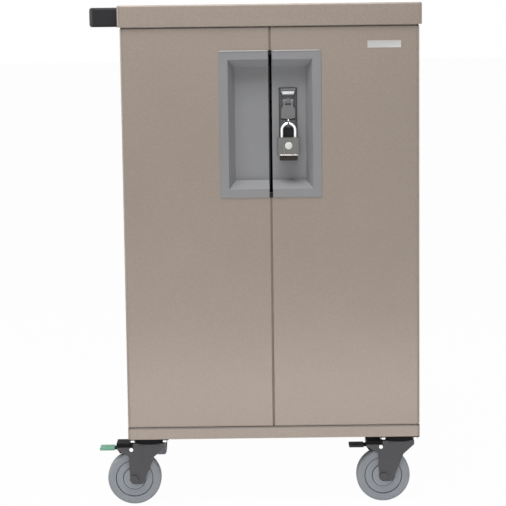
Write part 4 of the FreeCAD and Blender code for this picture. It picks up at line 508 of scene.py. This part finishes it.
cabinet_middle = 0.034
slot_pitch = 0.050
slot_count = 12
divider_tall = 0.250
divider_bend = 0.040
bead_radius = 0.0026
bead_sides = 10
bead_lift = 0.002
bead_top_run = 0.26
bend_steps = 10
across = (1, 0, 0)
divider_low, divider_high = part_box("slot_dividers")
for level, level_floor in (("lower", divider_low.z), ("upper", divider_high.z - divider_tall)):
    bead_bm = bmesh.new()
    start = Vector((cabinet_middle - slot_pitch * slot_count / 2, divider_low.y, level_floor + bead_lift))
    loop = bmesh.ops.create_circle(bead_bm, cap_ends=True, segments=bead_sides, radius=bead_radius,
                                   matrix=Matrix.Translation(start))
    profile = list({face for vert in loop["verts"] for face in vert.link_faces})
    rise = divider_tall - divider_bend - bead_lift
    grown = bmesh.ops.spin(bead_bm, geom=profile, cent=start, axis=across, dvec=(0, 0, rise), angle=0.0,
                           steps=1)
    bend_middle = start + Vector((0.0, divider_bend, rise))
    grown = bmesh.ops.spin(bead_bm, geom=grown["geom_last"], cent=bend_middle, axis=across,
                           angle=math.radians(-90.0), steps=bend_steps)
    bmesh.ops.spin(bead_bm, geom=grown["geom_last"], cent=start, axis=across,
                   dvec=(0, bead_top_run, 0), angle=0.0, steps=1)
    first = list(bead_bm.verts) + list(bead_bm.edges) + list(bead_bm.faces)
    for i in range(1, slot_count + 1):
        copy = bmesh.ops.duplicate(bead_bm, geom=first)
        bmesh.ops.translate(bead_bm, vec=(slot_pitch * i, 0, 0), verts=only_verts(copy["geom"]))
    piece(level + "_divider_edging", bead_bm, "cabinet", black_plastic)


# Cable grommets: a black rubber ring, moulded in one piece and clipped round each long slot
# in the partition, with a rounded lip on both faces that spares the leads.
def rounded(bm, geom, offset, segments, affect="EDGES"):
    """Rounds edges or corners."""
    bmesh.ops.bevel(bm, geom=geom, offset=offset, offset_type="OFFSET", segments=segments, profile=0.5,
                    affect=affect, material=-1)


ring_wide = 0.612
ring_tall = 0.048
ring_corner = 0.018
ring_rim = 0.0085
ring_thick = 0.0065
ring_lip = 0.0022
crease = 1.0
partition_low, partition_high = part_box("partition_panels")
partition_middle = (partition_low.y + partition_high.y) / 2
for level, slot_middle in (("lower", 0.498), ("upper", 0.940)):
    ring_bm = bmesh.new()
    bmesh.ops.create_grid(ring_bm, x_segments=1, y_segments=1, size=0.5)
    bmesh.ops.scale(ring_bm, vec=(ring_wide, ring_tall, 1.0), verts=ring_bm.verts)
    rounded(ring_bm, list(ring_bm.verts), ring_corner, 6, affect="VERTICES")
    bmesh.ops.inset_region(ring_bm, faces=list(ring_bm.faces), thickness=ring_rim, use_boundary=True)
    inner = min(ring_bm.faces, key=lambda face: (face.calc_center_median().length, -len(face.verts)))
    bmesh.ops.delete(ring_bm, geom=[inner], context="FACES_ONLY")
    raised = bmesh.ops.extrude_face_region(ring_bm, geom=list(ring_bm.faces))
    bmesh.ops.translate(ring_bm, vec=(0, 0, ring_thick), verts=only_verts(raised["geom"]))
    creases = [edge for edge in ring_bm.edges if edge.is_manifold and edge.calc_face_angle(0.0) > crease]
    rounded(ring_bm, creases, ring_lip, 3)
    bmesh.ops.translate(ring_bm, vec=(0, 0, -ring_thick / 2), verts=ring_bm.verts)
    bmesh.ops.rotate(ring_bm, matrix=Matrix.Rotation(math.radians(90.0), 3, "X"), verts=ring_bm.verts)
    bmesh.ops.translate(ring_bm, vec=(cabinet_middle, partition_middle, slot_middle), verts=ring_bm.verts)
    piece(level + "_cable_grommet", ring_bm, "cabinet", black_plastic)


# Power strip ends: black moulded plastic caps pushed over both ends of each aluminium strip,
# the left one with a round reset button.
def softened_bar(bm, low, high, offset, segments=3):
    """Adds a bar between two corners, with its edges rounded."""
    low, high = Vector(low), Vector(high)
    made = bmesh.ops.create_cube(bm, size=1.0)
    bmesh.ops.scale(bm, vec=high - low, verts=made["verts"])
    bmesh.ops.translate(bm, vec=(low + high) / 2, verts=made["verts"])
    edges = list({edge for vert in made["verts"] for edge in vert.link_edges})
    rounded(bm, edges, offset, segments)


strip_tall = 0.046
cap_over = 0.016
cap_past = 0.006
cap_lip = 0.0015
cap_rear = 0.0005
cap_front = 0.0018
cap_edge = 0.0022
button_along = 0.009
button_out = 0.0028
button_tall = 0.004
button_foot, button_top = 0.0042, 0.0036
button_turn = Matrix.Rotation(math.radians(270.0), 4, "X")
strip_low, strip_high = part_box("power_strips")
for level, strip_floor in (("lower", strip_low.z), ("upper", strip_high.z - strip_tall)):
    cap_bm = bmesh.new()
    for left, right in ((strip_low.x - cap_past, strip_low.x + cap_over),
                        (strip_high.x - cap_over, strip_high.x + cap_past)):
        softened_bar(cap_bm, (left, strip_low.y + cap_rear, strip_floor - cap_lip),
                     (right, strip_high.y + cap_front, strip_floor + strip_tall + cap_lip), cap_edge)
    button_place = (strip_low.x + button_along, strip_high.y + button_out, strip_floor + strip_tall / 2)
    bmesh.ops.create_cone(cap_bm, cap_ends=True, segments=24, radius1=button_foot, radius2=button_top,
                          depth=button_tall, matrix=Matrix.Translation(button_place) @ button_turn)
    piece(level + "_strip_ends", cap_bm, "cabinet", black_plastic)

# Door stiffeners: hat channels folded from sheet steel and spot welded across the inside of
# each door's skin by their upper and lower flanges, then coated with the door.
hat_steps = [(0.0, 0.000), (0.014, 0.000), (0.018, 0.015), (0.046, 0.015), (0.050, 0.000), (0.064, 0.000)]
hat_inset = 0.020
hat_gauge = 0.0012
skin_depth = 0.0016
front_rises = (0.30, 0.58)
rear_rises = (0.50, 0.78)
for door, rises, way in (("left_door", front_rises, 1), ("right_door", front_rises, 1),
                         ("rear_door", rear_rises, -1)):
    low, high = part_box(door)
    skin = low.y + skin_depth if way > 0 else high.y - skin_depth
    hat_bm = bmesh.new()
    for rise in rises:
        line = [hat_bm.verts.new((low.x + hat_inset, skin + way * depth, rise + step))
                for step, depth in hat_steps]
        edges = [hat_bm.edges.new(pair) for pair in zip(line, line[1:])]
        bmesh.ops.spin(hat_bm, geom=line + edges, cent=(0, 0, 0), axis=across,
                       dvec=(high.x - low.x - 2 * hat_inset, 0, 0), angle=0.0, steps=1)
    bmesh.ops.recalc_face_normals(hat_bm, faces=hat_bm.faces)
    bmesh.ops.solidify(hat_bm, geom=list(hat_bm.faces), thickness=hat_gauge)
    piece(door + "_stiffeners", hat_bm, door, taupe_coat)

# Split pads: black pads on both doors in the gap between the two halves of the pocket's rim,
# above and below the recess; they are painted shade that keeps the split dark along its whole height.
pad_tall = 0.010
pad_end_gap = 0.0003
pad_seam_gap = 0.0006
pad_proud = 0.0003
pad_deep = 0.0030
pad_edge = 0.0002
door_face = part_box("left_door")[0].y
for side in ("left", "right"):
    rim_low, rim_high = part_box(side + "_pocket")
    door_low, door_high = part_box(side + "_door")
    near, far = rim_high.x, door_high.x - pad_seam_gap
    if side == "right":
        near, far = door_low.x + pad_seam_gap, rim_low.x
    pad_bm = bmesh.new()
    for low, high in ((rim_low.z + pad_end_gap, rim_low.z + pad_tall),
                      (rim_high.z - pad_tall, rim_high.z - pad_end_gap)):
        softened_bar(pad_bm, (near, door_face - pad_proud, low), (far, door_face + pad_deep, high),
                     pad_edge, 1)
    piece(side + "_split_shade_pads", pad_bm, side + "_door", matt_black_and_shade)

# Rim beads: a pale bead along the top edge of each half of the pocket's rim; its pale colour is
# a painted highlight for the light from above on that edge.
rim_highlight_plastic = coated(
    "rim_highlight_plastic", tint=(0.50, 0.50, 0.505), fleck=(0.54, 0.54, 0.545), edge_tint=(0.62, 0.62, 0.62),
    scale=1300.0, cloud=0.03, gloss=(0.4, 0.5), bump=0.1, edge_share=0.2)
bead_end = 0.002
bead_proud, bead_sunk = 0.0010, 0.0014
bead_above, bead_below = 0.0002, 0.0022
bead_round = 0.0011
for side in ("left", "right"):
    rim_low, rim_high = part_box(side + "_pocket")
    bead_bm = bmesh.new()
    softened_bar(bead_bm, (rim_low.x + bead_end, rim_low.y - bead_proud, rim_high.z - bead_below),
                 (rim_high.x - bead_end, rim_low.y + bead_sunk, rim_high.z + bead_above), bead_round)
    piece(side + "_rim_highlight_bead", bead_bm, side + "_door", rim_highlight_plastic)

# Gap strips: thin strips, a pale one under the lid's edge, a brown one on the plinth's edge and a
# brown lip on the left door's free edge; their tones are painted light for light reaching into the gaps.
# They stand a little behind the doors' faces, and the long ones pass in front of the door pins.
gap_light_tone = coated(
    "gap_light_tone", tint=(0.30, 0.26, 0.225), fleck=(0.32, 0.28, 0.24), edge_tint=(0.34, 0.30, 0.26),
    scale=800.0, cloud=0.05, gloss=(0.6, 0.7), bump=0.1, edge_share=0.1)
lid_gap_light_tone = coated(
    "lid_gap_light_tone", tint=(0.60, 0.55, 0.50), fleck=(0.63, 0.58, 0.53), edge_tint=(0.65, 0.60, 0.55),
    scale=800.0, cloud=0.05, gloss=(0.6, 0.7), bump=0.1, edge_share=0.1)
gap_strip_edge = 0.0003
gap_strip_end = 0.006
gap_strip_front = door_face + 0.0006
pin_clear = 0.0004
lid_gap, lid_touch = 0.0002, 0.0001
plinth_gap, plinth_touch = 0.0003, 0.0001
left_low, left_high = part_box("left_door")
right_low, right_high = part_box("right_door")
lid_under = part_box("top_lid")[0].z
plinth_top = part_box("floor_panel")[1].z
pin_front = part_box("left_door_pivots")[0].y - pin_clear
for name, finish, low, high in (
        ("lid_gap_light_strip", lid_gap_light_tone, left_high.z + lid_gap, lid_under - lid_touch),
        ("plinth_gap_light_strip", gap_light_tone, plinth_top + plinth_touch, left_low.z - plinth_gap)):
    gap_strip_bm = bmesh.new()
    softened_bar(gap_strip_bm, (left_low.x + gap_strip_end, gap_strip_front, low),
                 (right_high.x - gap_strip_end, pin_front, high), gap_strip_edge, 1)
    piece(name, gap_strip_bm, "cabinet", finish)
lip_front = door_face + 0.0028
lip_rear = door_face + 0.0090
lip_end = 0.004
lip_rim_gap = 0.001
lip_shift = 0.0002
rim_low, rim_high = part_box("left_pocket")
lip_bm = bmesh.new()
for low, high in ((left_low.z + lip_end, rim_low.z - lip_rim_gap),
                  (rim_high.z + lip_rim_gap, left_high.z - lip_end)):
    softened_bar(lip_bm, (left_high.x - lip_shift, lip_front, low),
                 (right_low.x - lip_shift, lip_rear, high), gap_strip_edge, 1)
piece("left_door_seam_light_lip", lip_bm, "left_door", gap_light_tone)

# Housing gasket: a thin frame of black foam, cut from sheet and clamped under the handle
# housing's flange, which shows as a dark line round it.
flange_low = Vector((0.055, -0.279, 0.835))
flange_high = Vector((0.094, -0.275, 0.971))
gasket_lap = 0.0013
gasket_rim = 0.004
gasket_front = flange_high.y - 0.0012
gasket_rear = flange_high.y + 0.0002
gasket_edge = 0.0005
left = flange_low.x - gasket_lap
right = flange_high.x + gasket_lap
foot = flange_low.z - gasket_lap
head = flange_high.z + gasket_lap
gasket_bm = bmesh.new()
for near, far, low, high in (
        (left, right, foot, foot + gasket_rim),
        (left, right, head - gasket_rim, head),
        (left, left + gasket_rim, foot, head),
        (right - gasket_rim, right, foot, head)):
    softened_bar(gasket_bm, (near, gasket_front, low), (far, gasket_rear, high), gasket_edge, 1)
piece("housing_gasket", gasket_bm, "right_door", dark_vinyl_and_shade)

# Housing trim: a pale satin plate over the housing's sloped top as far as the hub, whose paleness is
# painted light for the top light on the slope, and a chromed steel tip riveted on the staple over the
# shackle.
ramp_painted_light = coated(
    "ramp_painted_light", tint=(0.36, 0.36, 0.355), fleck=(0.40, 0.40, 0.395), edge_tint=(0.55, 0.55, 0.545),
    scale=1100.0, cloud=0.03, gloss=(0.30, 0.40), bump=0.05, metallic=0.25, edge_share=0.3, width=0.0006)
handle_middle = 0.0745
ramp_lift = 0.0001
ramp_gauge = 0.0003
ramp_rows = [(0.0168, -0.27905, 0.9700), (0.0163, -0.27905, 0.9684), (0.0128, -0.28625, 0.9590),
             (0.0128, -0.28625, 0.9571), (0.0128, -0.27905, 0.9569), (0.0124, -0.27905, 0.9552)]
ramp_bm = bmesh.new()
ramp_lines = [[ramp_bm.verts.new((handle_middle + way * half, depth - ramp_lift, rise)) for way in (-1, 1)]
              for half, depth, rise in ramp_rows]
for upper, lower in zip(ramp_lines, ramp_lines[1:]):
    ramp_bm.faces.new((upper[0], lower[0], lower[1], upper[1]))
bmesh.ops.solidify(ramp_bm, geom=list(ramp_bm.faces), thickness=ramp_gauge)
piece("ramp_light_plate", ramp_bm, "right_door", ramp_painted_light, 20.0)
tip_place = Matrix.Translation((handle_middle, -0.3030, 0.8990))
tip_foot, tip_top = 0.0034, 0.0006
tip_tall = 0.007
tip_edge = 0.0004
tip_bm = bmesh.new()
bmesh.ops.create_cone(tip_bm, cap_ends=True, segments=4, radius1=tip_foot, radius2=tip_top, depth=tip_tall,
                      matrix=tip_place @ Matrix.Rotation(math.radians(45.0), 4, "Z"))
rounded(tip_bm, list(tip_bm.edges), tip_edge, 2)
piece("staple_tip", tip_bm, "right_door", bright_chrome)


# Hub cover: a grey metal cap, turned with a raised rim and a sunk middle and pressed over the
# handle's spindle, and a thin black ring on the hub round it that is painted shade for the dark gap round
# the hub.
def turned(bm, steps, centre, axis, segments=48):
    """Spins a profile of (radius, along) steps about an axis through a place."""
    centre, axis = Vector(centre), Vector(axis)
    sideways = Vector((1, 0, 0)) if abs(axis.x) < 0.5 else Vector((0, 1, 0))
    line = [bm.verts.new(centre + sideways * radius + axis * along) for radius, along in steps]
    edges = [bm.edges.new(pair) for pair in zip(line, line[1:])]
    bmesh.ops.spin(bm, geom=line + edges, cent=centre, axis=axis, angle=math.radians(360.0),
                   steps=segments, use_merge=True)


forward = (0, -1, 0)
hub_low, hub_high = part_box("handle_hub")
hub_front = Vector(((hub_low.x + hub_high.x) / 2, hub_low.y, (hub_low.z + hub_high.z) / 2))
cover_steps = [(0.0, 0.0012), (0.0026, 0.0012), (0.0029, 0.0006), (0.0032, 0.0012), (0.0044, 0.0012),
               (0.0050, 0.0006), (0.0050, -0.0008), (0.0, -0.0008)]
cover_bm = bmesh.new()
turned(cover_bm, cover_steps, hub_front, forward)
piece("hub_cover", cover_bm, "handle_hub", handle_coat)
hub_plate = (handle_middle, -0.2820, 0.9420)
hub_shade_steps = [(0.0092, 0.0), (0.0092, 0.0002), (0.0106, 0.0002), (0.0106, 0.0)]
ring_bm = bmesh.new()
turned(ring_bm, hub_shade_steps, hub_plate, forward)
piece("hub_shade_ring", ring_bm, "handle_hub", dark_vinyl_and_shade)

# Padlock trim: a domed disc of white enamel pressed into the lock's front, and a toothed zinc strip
# where the steel body meets the dark lower guard, a painted highlight for the glints along the body's
# lower edge.
enamel_white = coated(
    "enamel_white", tint=(0.80, 0.80, 0.79), fleck=(0.84, 0.84, 0.83), edge_tint=(0.9, 0.9, 0.9),
    scale=700.0, cloud=0.03, gloss=(0.22, 0.3), bump=0.04, edge_share=0.2)
lock_middle = (handle_middle, -0.298, 0.84225)
disc_steps = [(0.0, 0.0126), (0.0040, 0.0125), (0.0075, 0.0121), (0.0094, 0.0115), (0.0099, 0.0109),
              (0.0099, 0.0098), (0.0, 0.0098)]
disc_bm = bmesh.new()
turned(disc_bm, disc_steps, lock_middle, forward)
piece("padlock_disc", disc_bm, "padlock", enamel_white)
band_low, band_high = (0.0545, -0.3094, 0.8198), (0.0945, -0.2866, 0.8214)
tooth_count = 9
tooth_first = 0.0585
tooth_pitch = 0.004
tooth_half = 0.0011
tooth_front, tooth_rear = -0.3097, -0.3086
tooth_foot, tooth_head = 0.8196, 0.8226
tooth_edge = 0.0004
tooth_bm = bmesh.new()
softened_bar(tooth_bm, band_low, band_high, tooth_edge, 1)
for i in range(tooth_count):
    tooth = tooth_first + i * tooth_pitch
    softened_bar(tooth_bm, (tooth - tooth_half, tooth_front, tooth_foot),
                 (tooth + tooth_half, tooth_rear, tooth_head), tooth_edge, 1)
piece("padlock_glint_strip", tooth_bm, "padlock", zinc_and_glint_metal)

# Badge: a bare plate of satin aluminium on the right door, coined with a raised rim and held
# by a small drive pin at each end.
badge_step = 0.0004
badge_edge = 0.0003
badge_rim = 0.0012
badge_sink = 0.0003
badge_front_way = -0.99
badge_face_area = 0.0005
pin_inset = 0.004
pin_sink = 0.0009
pin_steps = [(0.0, 0.0009), (0.0008, 0.0008), (0.0013, 0.0003), (0.0013, 0.0)]
badge_low, badge_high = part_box("badge_plate")
badge_bm = bmesh.new()
softened_bar(badge_bm, (badge_low.x, badge_low.y + badge_step, badge_low.z), badge_high, badge_edge, 2)
front = [face for face in badge_bm.faces if face.normal.y < badge_front_way]
bmesh.ops.inset_region(badge_bm, faces=front, thickness=badge_rim, use_even_offset=True)
sunk = [face for face in badge_bm.faces
        if face.normal.y < badge_front_way and face.calc_area() > badge_face_area]
sunk_verts = list({vert for face in sunk for vert in face.verts})
bmesh.ops.translate(badge_bm, vec=(0, badge_sink, 0), verts=sunk_verts)
for end in (badge_low.x + pin_inset, badge_high.x - pin_inset):
    pin_place = (end, badge_low.y + pin_sink, (badge_low.z + badge_high.z) / 2)
    turned(badge_bm, pin_steps, pin_place, forward, 16)
badge_face = piece("badge_face", badge_bm, "right_door", satin_plate)
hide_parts("badge_plate")

# Push handle grip: shallow ribs moulded in the black plastic across the grip bar's outer side,
# between the two arms, so that it doesn't slip in the hand.
rib_count = 25
rib_pitch = 0.012
rib_half = 0.0028
rib_proud, rib_sunk = 0.0006, 0.003
rib_inset = 0.009
rib_edge = 0.0009
grip_low, grip_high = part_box("push_handle")
rib_bm = bmesh.new()
for i in range(rib_count):
    middle = (i - rib_count // 2) * rib_pitch
    softened_bar(rib_bm, (grip_low.x - rib_proud, middle - rib_half, grip_low.z + rib_inset),
                 (grip_low.x + rib_sunk, middle + rib_half, grip_high.z - rib_inset), rib_edge, 2)
piece("push_handle_ribs", rib_bm, "cabinet", black_plastic)


# Caster swivels: a black dust ring, pressed from steel, hides the balls between each plate and
# its fork, and a moulded plastic cap with a ring round it closes each side of a wheel's hub.
def wheel_axis(corner):
    """Gives the middle of a wheel and the way that its axle points."""
    low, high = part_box(corner + "_wheel_core")
    along_x = high.x - low.x < high.y - low.y
    return (low + high) / 2, Vector((1, 0, 0)) if along_x else Vector((0, 1, 0))


king_left, king_right = -0.258, 0.326
king_front, king_rear = -0.255, 0.255
dust_steps = [(0.0300, 0.1592), (0.0352, 0.1588), (0.0368, 0.1572), (0.0368, 0.1540), (0.0352, 0.1512),
              (0.0335, 0.1490), (0.0335, 0.1474), (0.0300, 0.1474)]
cap_steps = [(0.0065, 0.0178), (0.0066, 0.0182), (0.0150, 0.0182), (0.0158, 0.0180), (0.0158, 0.0170)]
cap_ring_steps = [(0.0195, 0.0179), (0.0200, 0.01815), (0.0215, 0.01815), (0.0220, 0.0179)]
for corner in corners:
    king_x = king_left if "left" in corner else king_right
    king_y = king_front if "front" in corner else king_rear
    ring_bm = bmesh.new()
    turned(ring_bm, dust_steps, (king_x, king_y, 0.0), (0, 0, 1))
    piece(corner + "_dust_ring", ring_bm, "cabinet", matt_black_and_shade)
    wheel_middle, axle = wheel_axis(corner)
    bearing_bm = bmesh.new()
    for way in (-1, 1):
        turned(bearing_bm, cap_steps, wheel_middle, axle * way)
        turned(bearing_bm, cap_ring_steps, wheel_middle, axle * way)
    piece(corner + "_bearing_cap", bearing_bm, corner + "_wheel", core_plastic)

# Brake covers: a black cover, pressed from sheet steel and clipped over the pedal end of each front
# fork's crown with a lap down both cheeks; its black is painted shade for the shaded fork crown.
cover_reach = 0.038
cover_past = 0.0003
cover_gauge = 0.0009
cover_bite = 0.0001
cover_foot = 0.1378
cover_edge = 0.0003
cheek_front, cheek_rear = -0.2775, -0.2325
for corner in ("front_left", "front_right"):
    crown_low, crown_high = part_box(corner + "_fork")
    cover_top = crown_high.z + cover_gauge
    left, right = crown_low.x - cover_past, crown_low.x + cover_reach
    cover_bm = bmesh.new()
    for near, far, low in (
            (cheek_front - cover_gauge, cheek_front + cover_bite, cover_foot),
            (cheek_rear - cover_bite, cheek_rear + cover_gauge, cover_foot),
            (cheek_front - cover_gauge, cheek_rear + cover_gauge, crown_high.z - cover_bite)):
        softened_bar(cover_bm, (left, near, low), (right, far, cover_top), cover_edge, 1)
    piece(corner + "_crown_shade_cover", cover_bm, corner + "_caster", matt_black_and_shade)

# Groove shade: a thin dark ring at the bottom of the grooves that are moulded round each core's
# hub and edge, painted shade for the depth of the grooves.
groove_shade_inners = (0.0251, 0.0421)
groove_shade_wide = 0.0018
groove_shade_floor, groove_shade_top = 0.0112, 0.0128
for corner in corners:
    wheel_middle, axle = wheel_axis(corner)
    groove_shade_bm = bmesh.new()
    for way in (-1, 1):
        for inner in groove_shade_inners:
            outer = inner + groove_shade_wide
            groove_shade_steps = [(inner, groove_shade_floor), (inner, groove_shade_top),
                           (outer, groove_shade_top), (outer, groove_shade_floor)]
            turned(groove_shade_bm, groove_shade_steps, wheel_middle, axle * way)
    piece(corner + "_groove_shade", groove_shade_bm, corner + "_wheel", fork_coat_and_groove_shade)

# Pedal treads: four ribs moulded in the plastic across the top of each brake pedal's cap, so
# that a shoe doesn't slip off it.
tread_count = 4
tread_first = 0.0075
tread_pitch = 0.0065
tread_half = 0.0013
tread_inset = 0.005
tread_sunk, tread_proud = 0.001, 0.0009
tread_edge = 0.0006
for corner, finish, slot in (("front_left", green_plastic, "green_plastic"),
                             ("front_right", black_plastic, "black_plastic")):
    cap_low, cap_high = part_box(corner + "_pedal_cap")
    tread_bm = bmesh.new()
    for i in range(tread_count):
        along = cap_low.x + tread_first + i * tread_pitch
        softened_bar(tread_bm, (along - tread_half, cap_low.y + tread_inset, cap_high.z - tread_sunk),
                     (along + tread_half, cap_high.y - tread_inset, cap_high.z + tread_proud),
                     tread_edge, 2)
    piece(corner + "_pedal_treads", tread_bm, corner + "_brake", finish)

# Inlet screws: two zinc plated steel screws with a sunk drive, turned in through opposite
# corners of the power inlet's flange to hold it on the left panel.
screw_inset = 0.0042
screw_steps = [(0.0, 0.0004), (0.0006, 0.0004), (0.0008, 0.0007), (0.0014, 0.0007), (0.0018, 0.0002),
               (0.0018, -0.0006)]
inlet_low, inlet_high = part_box("power_inlet")
screw_bm = bmesh.new()
for depth, rise in ((inlet_low.y + screw_inset, inlet_low.z + screw_inset),
                    (inlet_high.y - screw_inset, inlet_high.z - screw_inset)):
    turned(screw_bm, screw_steps, (inlet_low.x, depth, rise), (-1, 0, 0), 20)
piece("inlet_screws", screw_bm, "cabinet", zinc_and_glint_metal)

# Rear vents: a hood pressed out of the rear door's own sheet steel stands over every slot, so
# that dust and splashes stay out, and is coated with the door.
vent_hood = [(0.0032, 0.0), (0.0075, 0.0), (0.0052, 0.0030), (0.0018, 0.0038), (0.0006, 0.0032)]
vent_columns = (-0.130, 0.130)
vent_rows = 8
vent_first = 0.090
vent_pitch = 0.018
vent_wide = 0.152
vent_bite = 0.0002
door_low, door_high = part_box("rear_door")
vent_bm = bmesh.new()
for column in vent_columns:
    left = cabinet_middle + column - vent_wide / 2
    for i in range(vent_rows):
        reach = vent_first + i * vent_pitch
        for rise in (door_high.z - reach, door_low.z + reach):
            line = [vent_bm.verts.new((left, door_high.y - vent_bite + out, rise + step))
                    for step, out in vent_hood]
            hood = vent_bm.faces.new(line)
            bmesh.ops.spin(vent_bm, geom=[hood], cent=(0, 0, 0), axis=across, dvec=(vent_wide, 0, 0),
                           angle=0.0, steps=1)
piece("rear_vent_hoods", vent_bm, "rear_door", taupe_coat)
